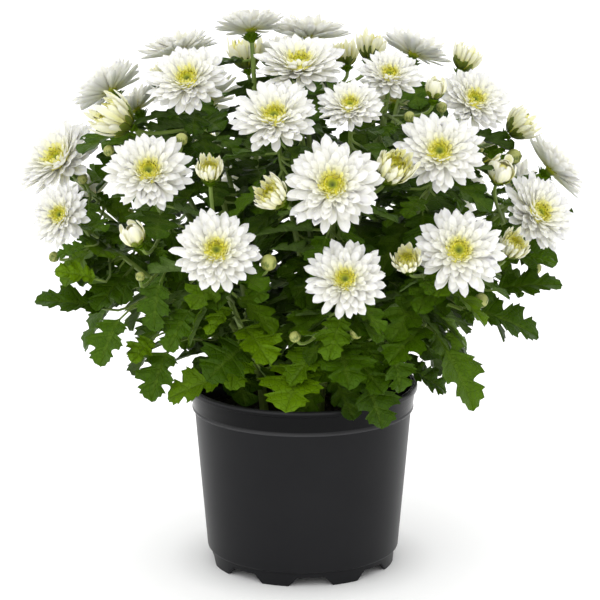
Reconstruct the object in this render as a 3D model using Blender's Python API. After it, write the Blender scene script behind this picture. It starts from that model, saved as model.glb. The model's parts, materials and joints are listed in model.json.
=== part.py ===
"""A white pot chrysanthemum: five leafy cuttings in soil, with their blooms, in a black nursery pot.

The origin is at the middle of the pot's foot, +Z is up and the front is towards -Y.
Bearings turn round the pot from the front towards +X. Lifts and pitches rise from level.
"""

import math
import random
from collections import namedtuple

import bpy
from mathutils import Matrix, Vector
from mathutils.bvhtree import BVHTree

MM = 0.001
UP = Vector((0.0, 0.0, 1.0))
GOLDEN_ANGLE = 137.5
GAP = 0.3 * MM

# Pot: a turned wall with a stepped foot, a rim band and a rolled lip
PLASTIC = ("black_plastic", (0.012, 0.012, 0.014), 0.42)
POT_SIDES = 32
POT_HEIGHT = 120.8 * MM
RIM_RADIUS = 75.0 * MM
RIM_FOOT_RADIUS = 72.0 * MM
RIM_FOOT_HEIGHT = 105.2 * MM
BODY_TOP_RADIUS = 71.0 * MM
BODY_TOP_HEIGHT = 104.4 * MM
BODY_FOOT_RADIUS = 63.0 * MM
BODY_FOOT_HEIGHT = 11.6 * MM
FOOT_RADIUS = 60.0 * MM
FOOT_HEIGHT = 9.2 * MM
FOOT_WALL = 2.6 * MM
WALL = 1.7 * MM
LIP_WIDTH = 3.8 * MM
LIP_DEPTH = 2.0 * MM
LIP_ROUNDING = 0.6 * MM
STEP_SLOPE = 0.8 * MM
FLOOR_UNDER = 8.0 * MM
FLOOR_TOP = 10.2 * MM
NOTCHES = 8
NOTCH_BEARING = 5.0
NOTCH_FOOT_WIDTH = 30.0 * MM
NOTCH_TOP_WIDTH = 18.0 * MM
NOTCH_HEIGHT = 6.0 * MM
NOTCH_FLARE = 0.6 * MM
NOTCH_INWARD = 12.0 * MM
NOTCH_OUTWARD = 8.0 * MM
CUT_MARGIN = 2.0 * MM
DRAIN_HOLES = 4
DRAIN_RADIUS = 5.0 * MM
DRAIN_RING = 40.0 * MM
HOLE_SIDES = 8

# Soil: a plug that fills the pot to below its rim
EARTH = ("soil", (0.045, 0.028, 0.017), 0.95)
SOIL_TOP = 101.0 * MM
SOIL_BUMP = 0.8 * MM
SOIL_WAVES = ((3, 300), (5, -170))
SOIL_SHOULDER = 5.0 * MM
SOIL_INSET = 0.8 * MM
SOIL_EDGE_DROP = 3.0 * MM
SOIL_RINGS = 3
SOIL_SIDES = 16

# Cuttings: trunks stand in plain holes in the soil
GREEN = ("leaf_green", (0.055, 0.17, 0.025), 0.5)
TRUNKS = 5
TRUNK_BEARING = 20.0
TRUNK_RING = 31.0 * MM
TRUNK_RADIUS = 3.1 * MM
TRUNK_FOOT = 76.0 * MM
TRUNK_TOP = 146.0 * MM
TRUNK_LEAN = 6.0 * MM
TRUNK_NECK = 4.0 * MM
TRUNK_TAPER = 0.7
HOLE_PLAY = 0.8 * MM
HOLE_DEEPER = 0.6 * MM
HOLE_ABOVE = 8.0 * MM
FIRST_FORK = 116.0 * MM
LAST_FORK = 142.0 * MM
SHOOT_RADIUS = 1.9 * MM
NECK_RADIUS = 1.25 * MM
PEDICEL_RADIUS = 1.0 * MM
SHOOT_STEPS = 3
SIDE_STEPS = 2
STEM_SIDES = 4
TRUNK_SIDES = 5
FORK_RISES = (-5.0, 75.0)
SHOOT_UPWARD = 0.35
SHOOT_HANDLES = (0.33, 0.28)
SIDE_RADIUS = 1.1 * MM
SIDE_HANDLE = 0.30
SIDE_FORKS = (0.35, 0.85)
BUD_FORKS = (0.35, 0.92)
FORK_TRIES = 12
BEND_COST = 30.0 * MM
SHORT_RUN = 14.0 * MM
SHORT_COST = 40.0 * MM
CALYX_HEIGHTS = (-6.0 * MM, -1.8 * MM, 0.0)
CALYX_RADII = (NECK_RADIUS, 4.4 * MM, 4.3 * MM)
SIDE_CALYX = 0.72
KNOB_FOOT = 1.1
KNOB_RINGS = ((-0.45, 0.95), (0.35, 0.98), (0.95, 0.45))

# Dome: the rounded shell on which the flower heads sit
DOME_CENTRE = Vector((0.0, 0.0, 222.0 * MM))
DOME_RADII = Vector((160.0 * MM, 150.0 * MM, 128.0 * MM))

# Heads: bearing and rise of the middle on the dome, reach as a share of the dome's radii,
# width across in millimetres, and the bearing and the lift of the way that the head faces
Head = namedtuple("Head", "bearing rise reach across faces lift")

OPEN_HEADS = (
    Head(-41, 27, 1.00, 56, 0, 41),
    Head(-19, 8, 1.00, 56, -1, 38),
    Head(9, 1, 1.00, 52, -5, 33),
    Head(7, 26, 1.00, 62, -3, 31),
    Head(36, 6, 1.00, 58, 8, 30),
    Head(38, 33, 1.00, 57, 0, 38),
    Head(-9, 46, 1.00, 57, -8, 52),
    Head(16, 50, 1.00, 44, -4, 56),
    Head(-53, 56, 1.00, 55, -17, 48),
    Head(-2, 66, 1.00, 61, 0, 67),
    Head(42, 60, 1.00, 43, 5, 55),
    Head(72, 45, 1.00, 50, 22, 46),
    Head(-76, 8, 1.00, 44, -28, 26),
    Head(-90, 20, 1.04, 64, -49, 46),
    Head(-97, 42, 1.06, 53, -128, 47),
    Head(69, 10, 1.00, 56, 41, 33),
    Head(89, 18, 1.06, 52, 107, 37),
    Head(-129, 75, 1.05, 49, -168, 68),
    Head(175, 71, 1.00, 56, 167, 78),
    Head(108, 62, 1.01, 50, 136, 62),
    Head(-106, 60, 1.04, 54, -131, 75),
    Head(113, 7, 1.00, 55, 116, 34),
    Head(139, 4, 1.00, 57, 138, 31),
    Head(165, 9, 1.00, 54, 168, 36),
    Head(-168, 4, 1.00, 58, -167, 32),
    Head(-142, 8, 1.00, 53, -143, 35),
    Head(-115, 3, 1.00, 56, -116, 31),
    Head(124, 34, 1.00, 56, 126, 50),
    Head(152, 31, 1.00, 58, 150, 47),
    Head(180, 34, 1.00, 55, 178, 50),
    Head(-151, 31, 1.00, 57, -150, 47),
    Head(-123, 33, 1.00, 46, -121, 49),
    Head(-175, 53, 1.00, 48, -176, 63),
)

HALF_OPEN_HEADS = (
    Head(-7, 23.5, 1.00, 22, -55, 38),
    Head(23, 5, 1.00, 19, -11, 47),
    Head(23, 30, 1.00, 26, 40, 52),
    Head(54, 4, 1.00, 20, 36, 52),
    Head(100, 52, 1.08, 21, 125, 60),
    Head(93, 31, 1.02, 24, 94, 35),
    Head(-157, 53, 1.00, 27, -151, 78),
    Head(163, 52, 1.00, 20, -165, 72),
    Head(148, 58, 1.00, 22, 156, 66),
    Head(-71, 39, 1.00, 31, -80, 31),
    Head(-124, 47, 1.00, 20, -112, 57),
    Head(-24, 29.5, 0.99, 18, -3, 66),
    Head(127, 15, 1.00, 22, 127, 42),
    Head(-155, 13, 1.00, 22, -155, 42),
)

CREAM_BUDS = (
    Head(-40, 9, 1.00, 15, -53, 57),
    Head(56, 24, 1.00, 17, 20, 51),
    Head(54, 51, 1.00, 13, 56, 79),
)

GREEN_BUDS = (
    Head(-8, 5, 0.93, 10, 17, 61),
    Head(-2, -18, 0.93, 7, -40, 54),
    Head(13, -17, 0.93, 8, 39, 54),
    Head(85, 25, 0.93, 10, 21, 67),
    Head(-83, -6, 1.01, 7, -95, 22),
    Head(-40, 39, 0.93, 8, 4, 69),
    Head(-71, 30, 0.93, 7, -52, 55),
    Head(-83, 18, 0.93, 7, -52, 56),
    Head(-42, -3, 0.93, 6, 6, 73),
    Head(83, -10, 0.95, 9, 41, 65),
    Head(49, -12, 0.93, 9, 23, 71),
    Head(40, 47, 0.93, 7, -4, 68),
    Head(60, 48, 0.93, 7, -5, 68),
    Head(152, 8, 0.95, 9, 152, 60),
    Head(-129, -4, 0.95, 8, -129, 55),
    Head(-178, 17, 0.95, 9, -178, 60),
    Head(124, -9, 0.95, 8, 120, 55),
    Head(-137, 26, 0.95, 8, -137, 60),
)

# Blooms: rings of a small core, from its foot to its top, as radius and height; whorls of petals
# on them, as reach and lift
WHITE = ("petal_white", (0.86, 0.86, 0.80), 0.55)
CORE_RINGS = ((3.0 * MM, 0.0), (4.5 * MM, 2.0 * MM), (5.5 * MM, 4.0 * MM), (5.0 * MM, 6.5 * MM))
CORE_TOP = 8.0 * MM
BLOOM_SECTORS = 8
BLOOM_WHORLS = ((1.0, 12.0), (0.82, 24.0), (0.52, 42.0))
BLOOM_CENTRE_HEIGHT = 6.0 * MM
HALF_SECTORS = 5
HALF_RINGS = ((0.24, 0.0), (0.35, 0.20), (0.35, 0.44), (0.27, 0.64))
HALF_TOP = 0.76
HALF_WHORLS = ((0.95, 62.0), (0.60, 70.0))
HALF_MIDDLE = 0.75
BUD_SECTORS = 6
BUD_RINGS = ((0.45, 0.0), (0.62, 0.30), (0.56, 0.62), (0.34, 0.92))
BUD_TOP = 1.05
BUD_WHORLS = ((1.0, 62.0),)
YOUNG_MIDDLE = 0.6
PETAL_WIDEST = 0.66
PETAL_SPREAD = 0.80
PETAL_RAISE = 0.5 * MM
PETAL_TURN_PLAY = 0.05
PETAL_SHORTEST = 0.95
PETAL_LIFT_PLAY = 3.0
HEAD_SEED = 11

# Leaves: half of the lobed outline, as shares of the length and of the width
LEAF_OUTLINE = ((0.0, 0.035), (0.20, 0.38), (0.34, 0.23), (0.55, 0.50), (0.68, 0.28), (0.87, 0.26))
LEAF_RIB = (0.34, 0.68)
LEAF_STALK = 0.24
LEAF_KEEL = 1.5 * MM
LEAF_CLEARANCE = 0.45 * MM
LEAF_CURL = 0.22
LEAF_FOLD = 0.24
LEAF_TURNS = (0, 14, -14, 28, -28)
LEAF_LIFTS = (0, 12, -12, 24, -24)
PETIOLE_SHARE = 0.8
PETIOLE_FORKS = (0.06, 0.80)

# Seen leaves: where the base of the blade is, as bearing, distance out and height; the way the
# rib runs, as bearing and pitch; roll about the rib; length and width
Leaf = namedtuple("Leaf", "bearing out height faces pitch roll length width")

SEEN_LEAVES = (
    Leaf(-77, 129, 177, -79, 18, -24, 45, 30),
    Leaf(-66, 127, 176, -40, -46, 0, 32, 30),
    Leaf(-60, 111, 164, -39, -26, -15, 20, 20),
    Leaf(-36, 118, 193, -43, -37, 0, 30, 28),
    Leaf(-57, 102, 156, -36, -50, 0, 33, 29),
    Leaf(-32, 92, 146, -92, -16, -35, 40, 27),
    Leaf(-19, 111, 172, -43, -16, -25, 34, 34),
    Leaf(-18, 117, 186, 38, -22, 5, 32, 31),
    Leaf(0, 98, 158, -19, -23, 0, 37, 40),
    Leaf(-68, 148, 224, -70, -10, -20, 18, 14),
    Leaf(-65, 143, 204, -75, 22, -30, 26, 20),
    Leaf(-21, 123, 199, -50, -28, 0, 22, 20),
    Leaf(-43, 129, 210, -30, -62, 0, 30, 24),
    Leaf(54, 101, 171, 48, -44, 0, 56, 40),
    Leaf(68, 121, 179, 83, -12, 25, 40, 32),
    Leaf(72, 128, 192, 84, 14, 28, 42, 28),
    Leaf(66, 149, 219, 75, 0, 15, 22, 14),
    Leaf(11, 116, 175, 13, -21, 0, 35, 35),
    Leaf(38, 121, 182, -37, -13, -15, 38, 30),
    Leaf(23, 95, 149, 35, -47, 0, 35, 34),
    Leaf(32, 104, 165, 40, -59, 0, 26, 26),
    Leaf(53, 84, 143, 90, -24, 25, 29, 23),
)

# Leaves on the shoots, as shares of the way up, and low leaves round the sides and the back
LOW_SHOOT_LEAVES = (0.44, 0.62, 0.80)
HIGH_SHOOT_LEAVES = (0.52, 0.80)
HIGH_SHOOT_RISE = 40
SHOOT_LEAF_ALONG = 0.5
SHOOT_LEAF_OUTWARD = 0.7
SHOOT_LEAF_PITCH = (-58.0, -12.0)
SHOOT_LEAF_ROLL = (-15.0, 15.0)
SHOOT_LEAF_LENGTH = (40.0, 54.0)
SHOOT_LEAF_SHRINK = (1.25, 0.45)
SHOOT_LEAF_WIDTH = 0.6
SHOOT_LEAF_SEED = 7
BACK_LEAVES = 12
BACK_LEAF_FROM = 95.0
BACK_LEAF_TO = 265.0
BACK_LEAF_SEATS = ((96, 153), (120, 176))
BACK_LEAF_PITCH = (-62.0, -40.0)
BACK_LEAF_LENGTH = (38.0, 48.0)
BACK_LEAF_TURN = 20.0
BACK_LEAF_WIDTH = 0.75
BACK_LEAF_SEED = 3

Shell = namedtuple("Shell", "points faces")


# Directions, frames and smooth paths


def facing(bearing, lift):
    """The unit vector at a bearing round the pot, lifted above level, both in degrees."""
    turn, rise = math.radians(bearing), math.radians(lift)
    return Vector((math.sin(turn) * math.cos(rise), -math.cos(turn) * math.cos(rise), math.sin(rise)))


def dome_point(head):
    """Where a head's middle sits on the dome."""
    way = facing(head.bearing, head.rise)
    return DOME_CENTRE + Vector(w * r for w, r in zip(way, DOME_RADII)) * head.reach


def frame_on(origin, axis, turn=0.0):
    """The matrix of a frame at origin with its Z along axis, turned about it in degrees."""
    turned = axis.to_track_quat("Z", "Y").to_matrix() @ Matrix.Rotation(math.radians(turn), 3, "Z")
    return Matrix.Translation(origin) @ turned.to_4x4()


def bezier(start, start_way, end_way, end, steps):
    """Points along a cubic curve from start to end, with its two handles."""
    path = []
    for i in range(steps + 1):
        t = i / steps
        s = 1 - t
        point = start * s**3 + start_way * 3 * s * s * t + end_way * 3 * s * t * t + end * t**3
        path.append(point)
    return path


def ring_frames(path):
    """A pair of side vectors at each point of the path, carried along it without twist."""
    frames = []
    side = None
    for i, point in enumerate(path):
        ahead = path[min(i + 1, len(path) - 1)]
        behind = path[max(i - 1, 0)]
        way = (ahead - behind).normalized()
        if side is None:
            side = way.orthogonal().normalized()
        side = (side - way * side.dot(way)).normalized()
        frames.append((side, way.cross(side)))
    return frames


# Closed shells of points and faces


def tube(path, radii, sides):
    """A closed tube along the path, with a radius at each of its points."""
    points, faces = [], []
    for centre, radius, (side, other) in zip(path, radii, ring_frames(path)):
        for k in range(sides):
            angle = math.tau * k / sides
            points.append(centre + side * (radius * math.cos(angle)) + other * (radius * math.sin(angle)))
    for i in range(len(path) - 1):
        low, high = i * sides, (i + 1) * sides
        for k in range(sides):
            n = (k + 1) % sides
            faces.append((low + k, low + n, high + n))
            faces.append((low + k, high + n, high + k))
    faces.append(tuple(reversed(range(sides))))
    faces.append(tuple(range((len(path) - 1) * sides, len(path) * sides)))
    return Shell(points, faces)


def turned(profile, sides):
    """A solid turned round Z from a closed profile of radius and height; radius 0 is a pole."""
    points, rings, faces = [], [], []
    for radius, height in profile:
        count = sides if radius > 0 else 1
        rings.append([len(points) + k for k in range(count)])
        for k in range(count):
            angle = math.tau * k / sides
            points.append(Vector((radius * math.sin(angle), -radius * math.cos(angle), height)))
    for low, high in zip(rings, rings[1:]):
        for k in range(sides):
            n = (k + 1) % sides
            corners = [low[k % len(low)], low[n % len(low)], high[n % len(high)], high[k % len(high)]]
            faces.append(tuple(dict.fromkeys(corners)))
    return Shell(points, faces)


def petal(points, faces, left, right, under, tip, width):
    """One petal, widest past its middle, grown from the core triangle left, right, under."""
    root = (points[left] + points[right]) / 2
    across = (points[right] - points[left]).normalized()
    widest = root.lerp(tip, PETAL_WIDEST) + UP * PETAL_RAISE
    start = len(points)
    points.append(widest - across * width / 2)
    points.append(widest + across * width / 2)
    points.append(tip)
    wide_left, wide_right, end = start, start + 1, start + 2
    faces.append((left, wide_right, right))
    faces.append((left, wide_left, wide_right))
    faces.append((wide_left, end, wide_right))
    faces.append((under, wide_left, left))
    faces.append((under, end, wide_left))
    faces.append((under, wide_right, end))
    faces.append((under, right, wide_right))


def spike(points, faces, left, right, under, tip):
    """One short inner petal that tapers all the way to its tip."""
    end = len(points)
    points.append(tip)
    faces.append((left, end, right))
    faces.append((under, end, left))
    faces.append((under, right, end))


def flower(rings, top, sectors, whorls, tip_radius, draw):
    """A head in its own frame: a core with one whorl on each band that whorls name, the last of spikes."""
    points, faces = [], []
    for level, (radius, height) in enumerate(rings):
        for k in range(sectors):
            angle = math.tau * (k + 0.5 * (level % 2)) / sectors
            points.append(Vector((radius * math.cos(angle), radius * math.sin(angle), height)))
    faces.append(tuple(reversed(range(sectors))))
    for level in range(len(rings) - 1):
        shift = level % 2
        for k in range(sectors):
            n = (k + 1) % sectors
            low, low_next = level * sectors + k, level * sectors + n
            high, high_next = (level + 1) * sectors + k, (level + 1) * sectors + n
            faces.append((low, low_next, high_next if shift else high))
            under = low if shift else low_next
            if level >= len(whorls):
                faces.append((high, under, high_next))
                continue
            reach, lift = whorls[level]
            # A petal's tip keeps to its sector, with a little play in its turn, length and lift
            turn = math.tau * (k + 0.5 * shift + (0 if shift else 1)) / sectors
            turn += draw.uniform(-1, 1) * PETAL_TURN_PLAY
            radius = tip_radius * reach * draw.uniform(PETAL_SHORTEST, 1.0)
            rise = math.tan(math.radians(lift + draw.uniform(-1, 1) * PETAL_LIFT_PLAY))
            root_radius, root_height = rings[level + 1]
            height = root_height + max(radius - root_radius, 0.0) * rise
            tip = Vector((radius * math.cos(turn), radius * math.sin(turn), height))
            wide_radius = root_radius + (radius - root_radius) * PETAL_WIDEST
            width = math.tau * wide_radius / sectors * PETAL_SPREAD
            if level and level == len(whorls) - 1:
                spike(points, faces, high, high_next, under, tip)
            else:
                petal(points, faces, high, high_next, under, tip, width)
    last = (len(rings) - 1) * sectors
    points.append(Vector((0.0, 0.0, top)))
    for k in range(sectors):
        faces.append((last + k, last + (k + 1) % sectors, len(points) - 1))
    return Shell(points, faces)


def leaf_blade(length, width, stalk=0.0):
    """A lobed blade in its own frame: X along the rib, Z up; its first three points are the base.

    A stalk share keeps that much of the length, from the base, as a narrow stalk.
    """

    def at(x, y):
        along = stalk + (1.0 - stalk) * x if x > 0 else 0.0
        droop = -LEAF_CURL * length * along * along
        return Vector((along * length, y * width, droop + abs(y) * width * LEAF_FOLD))

    rib_depth = Vector((0.0, 0.0, LEAF_KEEL))
    points = [at(0.0, LEAF_OUTLINE[0][1]), at(0.0, -LEAF_OUTLINE[0][1]), at(0.0, 0.0) - rib_depth]
    upper_rib, lower_rib = [], []
    for x in LEAF_RIB:
        upper_rib.append(len(points))
        points.append(at(x, 0.0))
        lower_rib.append(len(points))
        points.append(at(x, 0.0) - rib_depth)
    tip = len(points)
    points.append(at(1.0, 0.0))
    faces = [(0, 2, 1), (0, 1, upper_rib[0]), (2, 0, lower_rib[0]), (1, 2, lower_rib[0])]
    for side in (1, -1):
        edge = [0 if side > 0 else 1]
        for x, y in LEAF_OUTLINE[1:]:
            edge.append(len(points))
            points.append(at(x, y * side))
        base, first_lobe, first_bay, second_lobe, second_bay, shoulder = edge
        for rib, up in ((upper_rib, 1), (lower_rib, -1)):
            half = [
                (base, rib[0], first_lobe),
                (first_lobe, rib[0], first_bay),
                (first_bay, rib[0], rib[1]),
                (first_bay, rib[1], second_lobe),
                (second_lobe, rib[1], second_bay),
                (second_bay, rib[1], shoulder),
                (shoulder, rib[1], tip),
            ]
            faces += [f if side * up > 0 else f[::-1] for f in half]
    return Shell(points, faces)


def with_petiole(blade, start):
    """The blade and its three-sided petiole, which begins at start, as one closed shell."""
    points = list(blade.points)
    centre = (points[0] + points[1] + points[2]) / 3
    first = len(points)
    for k in range(3):
        points.append(start + (points[k] - centre) * PETIOLE_SHARE)
    faces = blade.faces[1:] if blade.faces[0] == (0, 2, 1) else list(blade.faces)
    faces = faces + [(first, first + 2, first + 1)]
    for low, high in ((0, 1), (1, 2), (2, 0)):
        faces.append((first + low, first + high, high))
        faces.append((first + low, high, low))
    return Shell(points, faces)


def placed(shell, matrix):
    return Shell([matrix @ p for p in shell.points], shell.faces)


def swollen(shell, by):
    """The shell with each point moved out along the mean of its faces' normals."""
    normals = [Vector() for _ in shell.points]
    for face in shell.faces:
        a, b, c = (shell.points[i] for i in face[:3])
        normal = (b - a).cross(c - a).normalized()
        for i in face:
            normals[i] += normal
    points = [p + n.normalized() * by for p, n in zip(shell.points, normals)]
    return Shell(points, shell.faces)


def tree_of(shell):
    return BVHTree.FromPolygons(shell.points, shell.faces)


# Shoots, pedicels and what they carry


class Shoot:
    """A stem of one plant: its path, and the shells that belong to it."""

    def __init__(self, plant, path, shell):
        self.plant = plant
        self.path = path
        self.shell = shell
        self.tree = tree_of(shell)

    def at(self, share):
        """The point at a share of the path's steps."""
        place = share * (len(self.path) - 1)
        i = min(int(place), len(self.path) - 2)
        return self.path[i].lerp(self.path[i + 1], place - i)

    def way(self, share):
        i = min(int(share * (len(self.path) - 1)), len(self.path) - 2)
        return (self.path[i + 1] - self.path[i]).normalized()


def trunk_point(plant, height):
    """The middle of a plant's trunk at a height."""
    bearing = 360.0 * plant / TRUNKS + TRUNK_BEARING
    lean = TRUNK_LEAN * max(height - SOIL_TOP, 0.0) / (TRUNK_TOP - SOIL_TOP)
    foot = facing(bearing, 0.0) * (TRUNK_RING + lean)
    return Vector((foot.x, foot.y, height))


def plant_of(bearing):
    """The plant whose sector of the pot holds this bearing."""
    return round((bearing - TRUNK_BEARING) * TRUNKS / 360.0) % TRUNKS


def neck_of(head, base_height):
    """The foot of a head that faces its own way."""
    return dome_point(head) - facing(head.faces, head.lift) * base_height


def calyx(foot, axis, size):
    """Ring centres and radii of the cup under a head whose foot is at foot."""
    centres = [foot - axis * (GAP - height * size) for height in CALYX_HEIGHTS]
    return centres, [radius * size for radius in CALYX_RADII]


def trunk_shoot(plant):
    heights = (TRUNK_FOOT, SOIL_TOP + TRUNK_NECK, TRUNK_TOP)
    path = [trunk_point(plant, h) for h in heights]
    radii = (TRUNK_RADIUS, TRUNK_RADIUS, TRUNK_RADIUS * TRUNK_TAPER)
    return Shoot(plant, path, tube(path, radii, TRUNK_SIDES))


def head_shoot(head):
    """The shoot from a trunk's fork to an open head, ending in its calyx."""
    plant = plant_of(head.bearing)
    axis = facing(head.faces, head.lift)
    foot = neck_of(head, BLOOM_CENTRE_HEIGHT)
    lowest, highest = FORK_RISES
    share = (head.rise - lowest) / (highest - lowest)
    fork = trunk_point(plant, FIRST_FORK + (LAST_FORK - FIRST_FORK) * share)
    cup, cup_radii = calyx(foot, axis, 1.0)
    span = (cup[0] - fork).length
    away = ((cup[0] - fork).normalized() + UP * SHOOT_UPWARD).normalized()
    first, last = (handle * span for handle in SHOOT_HANDLES)
    path = bezier(fork, fork + away * first, cup[0] - axis * last, cup[0], SHOOT_STEPS)
    taper = NECK_RADIUS - SHOOT_RADIUS
    radii = [SHOOT_RADIUS + taper * i / SHOOT_STEPS for i in range(SHOOT_STEPS)]
    shell = tube(path[:-1] + cup, radii + cup_radii, STEM_SIDES)
    return Shoot(plant, path, shell)


def nearest_fork(shoots, foot, axis, forks):
    """The shoot and share from which a side stem reaches foot best, between the shares in forks."""
    best = None
    lowest, highest = forks
    for shoot in shoots:
        for step in range(FORK_TRIES + 1):
            share = lowest + (highest - lowest) * step / FORK_TRIES
            start = shoot.at(share)
            run = foot - start
            bend = run.normalized().dot((shoot.way(share) + axis).normalized())
            cost = run.length + BEND_COST * (1.0 - bend) + (SHORT_COST if run.length < SHORT_RUN else 0.0)
            if best is None or cost < best[0]:
                best = (cost, shoot, share)
    return best[1], best[2]


def side_path(shoot, share, foot, axis):
    """The curve of a side stem, from a share of its shoot to foot."""
    start = shoot.at(share)
    run = foot - start
    away = (shoot.way(share) + run.normalized()).normalized()
    handle = run.length * SIDE_HANDLE
    return bezier(start, start + away * handle, foot - axis * handle, foot, SIDE_STEPS)


def side_shoot(head, shoots):
    """The stem of a half-open head or a cream bud, forking from the nearest shoot."""
    axis = facing(head.faces, head.lift)
    middle = HALF_MIDDLE if head in HALF_OPEN_HEADS else YOUNG_MIDDLE
    foot = neck_of(head, middle * head.across * MM / 2)
    cup, cup_radii = calyx(foot, axis, SIDE_CALYX)
    parent, share = nearest_fork(shoots, cup[0], axis, SIDE_FORKS)
    path = side_path(parent, share, cup[0], axis)
    radii = [SIDE_RADIUS] * SIDE_STEPS
    return Shoot(parent.plant, path, tube(path[:-1] + cup, radii + cup_radii, STEM_SIDES))


def green_bud(head, shoots):
    """A tight green bud and its pedicel."""
    axis = facing(head.faces, head.lift)
    middle = dome_point(head)
    radius = head.across * MM / 2
    parent, share = nearest_fork(shoots, middle, axis, BUD_FORKS)
    path = side_path(parent, share, middle - axis * radius * KNOB_FOOT, axis)
    knob = [middle + axis * radius * along for along, _ in KNOB_RINGS]
    radii = [PEDICEL_RADIUS] * (SIDE_STEPS + 1) + [radius * around for _, around in KNOB_RINGS]
    return Shoot(parent.plant, path, tube(path + knob, radii, STEM_SIDES))


# Flower heads as shells in place


def open_bloom(head, draw):
    shell = flower(CORE_RINGS, CORE_TOP, BLOOM_SECTORS, BLOOM_WHORLS, head.across * MM / 2, draw)
    return placed(shell, head_frame(head, BLOOM_CENTRE_HEIGHT, draw))


def half_open_bloom(head, draw):
    radius = head.across * MM / 2
    rings = [(r * radius, h * radius) for r, h in HALF_RINGS]
    shell = flower(rings, HALF_TOP * radius, HALF_SECTORS, HALF_WHORLS, radius, draw)
    return placed(shell, head_frame(head, HALF_MIDDLE * radius, draw))


def cream_bud(head, draw):
    radius = head.across * MM / 2
    rings = [(r * radius, h * radius) for r, h in BUD_RINGS]
    shell = flower(rings, BUD_TOP * radius, BUD_SECTORS, BUD_WHORLS, radius, draw)
    return placed(shell, head_frame(head, YOUNG_MIDDLE * radius, draw))


def head_frame(head, base_height, draw):
    axis = facing(head.faces, head.lift)
    return frame_on(neck_of(head, base_height), axis, draw.uniform(0.0, 360.0))


# Leaves: each is bent clear of all else before it is accepted


class Thicket:
    """What already stands, so that a new leaf can be tested against it."""

    def __init__(self):
        self.solids = []

    def add(self, tree, plant=None):
        self.solids.append((tree, plant))

    def crosses(self, shell, spared=None):
        tree = tree_of(shell)
        return any(tree.overlap(solid) for solid, plant in self.solids if spared is None or plant != spared)


def leaf_frame(base, bearing, pitch, roll):
    """The frame of a blade: its rib runs at a bearing and a pitch, and it rolls about its rib."""
    rib = facing(bearing, pitch)
    side = UP.cross(rib).normalized()
    turn = Matrix((rib, side, rib.cross(side))).transposed()
    return Matrix.Translation(base) @ (turn @ Matrix.Rotation(math.radians(roll), 3, "X")).to_4x4()


def fit_leaf(thicket, stems, plant, base, leaf, start=None):
    """The leaf as given, or turned and lifted a little until it is clear; None if it never is.

    With a start it hangs on a petiole from there; without one its own stalk begins at base.
    """
    stalk = 0.0 if start else LEAF_STALK
    blade = leaf_blade(leaf.length * MM, leaf.width * MM, stalk)
    for lift in LEAF_LIFTS:
        for turn in LEAF_TURNS:
            frame = leaf_frame(base, leaf.faces + turn, leaf.pitch + lift, leaf.roll)
            free = placed(blade, frame)
            whole = with_petiole(free, start) if start else free
            swell = swollen(whole, LEAF_CLEARANCE)
            if thicket.crosses(swell) or stems.crosses(swell, spared=plant):
                continue
            if stems.crosses(swollen(outer_part(free), LEAF_CLEARANCE)):
                continue
            return whole
    return None


def outer_part(blade):
    """The blade without the faces at its base, which may sink into its stem."""
    return Shell(blade.points, [f for f in blade.faces if not set(f) & {0, 1, 2}])


def seen_leaf(leaf, shoots, thicket, stems):
    """A leaf at a given place, on a petiole from the nearest shoot."""
    around = facing(leaf.bearing, 0.0) * leaf.out * MM
    base = Vector((around.x, around.y, leaf.height * MM))
    parent, share = nearest_fork(shoots, base, facing(leaf.faces, 0.0), PETIOLE_FORKS)
    whole = fit_leaf(thicket, stems, parent.plant, base, leaf, start=parent.at(share))
    return parent.plant, whole


def shoot_leaf(shoot, share, turn, draw, thicket, stems):
    """A leaf on a shoot, at a turn about it, that leans out and droops."""
    base = shoot.at(share)
    way = shoot.way(share)
    side = Matrix.Rotation(math.radians(turn), 3, way) @ way.orthogonal().normalized()
    outward = Vector((base.x, base.y, 0.0)).normalized()
    reach = (side + way * SHOOT_LEAF_ALONG + outward * SHOOT_LEAF_OUTWARD).normalized()
    bearing = math.degrees(math.atan2(reach.x, -reach.y))
    pitch = draw.uniform(*SHOOT_LEAF_PITCH)
    full, shrink = SHOOT_LEAF_SHRINK
    length = draw.uniform(*SHOOT_LEAF_LENGTH) * (full - shrink * share)
    roll = draw.uniform(*SHOOT_LEAF_ROLL)
    leaf = Leaf(0, 0, 0, bearing, pitch, roll, length, length * SHOOT_LEAF_WIDTH)
    return fit_leaf(thicket, stems, shoot.plant, base, leaf)


# Blender objects


def material(name, colour, roughness):
    found = bpy.data.materials.get(name) or bpy.data.materials.new(name)
    found.use_nodes = True
    shader = found.node_tree.nodes["Principled BSDF"]
    shader.inputs["Base Color"].default_value = (*colour, 1.0)
    shader.inputs["Roughness"].default_value = roughness
    return found


def add_object(name, shell, finish, collection=None):
    mesh = bpy.data.meshes.new(name)
    mesh.from_pydata([tuple(p) for p in shell.points], [], shell.faces)
    mesh.materials.append(finish)
    obj = bpy.data.objects.new(name, mesh)
    (collection or bpy.context.scene.collection).objects.link(obj)
    return obj


def apply_modifier(obj, modifier):
    """Bakes the modifier into the object's mesh."""
    bpy.context.view_layer.objects.active = obj
    bpy.ops.object.modifier_apply(modifier=modifier.name)


def join_all(name, shells, finish):
    """One solid from many shells that sink into each other."""
    obj = add_object(name, shells[0], finish)
    repeats = bpy.data.collections.new(name + "_repeats")
    bpy.context.scene.collection.children.link(repeats)
    for i, shell in enumerate(shells[1:]):
        add_object(f"{name}_{i}", shell, finish, repeats)
    union = obj.modifiers.new("Union", "BOOLEAN")
    union.operation = "UNION"
    union.operand_type = "COLLECTION"
    union.collection = repeats
    union.solver = "MANIFOLD"
    apply_modifier(obj, union)
    for repeat in list(repeats.objects):
        bpy.data.objects.remove(repeat)
    bpy.data.collections.remove(repeats)
    return obj


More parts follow.
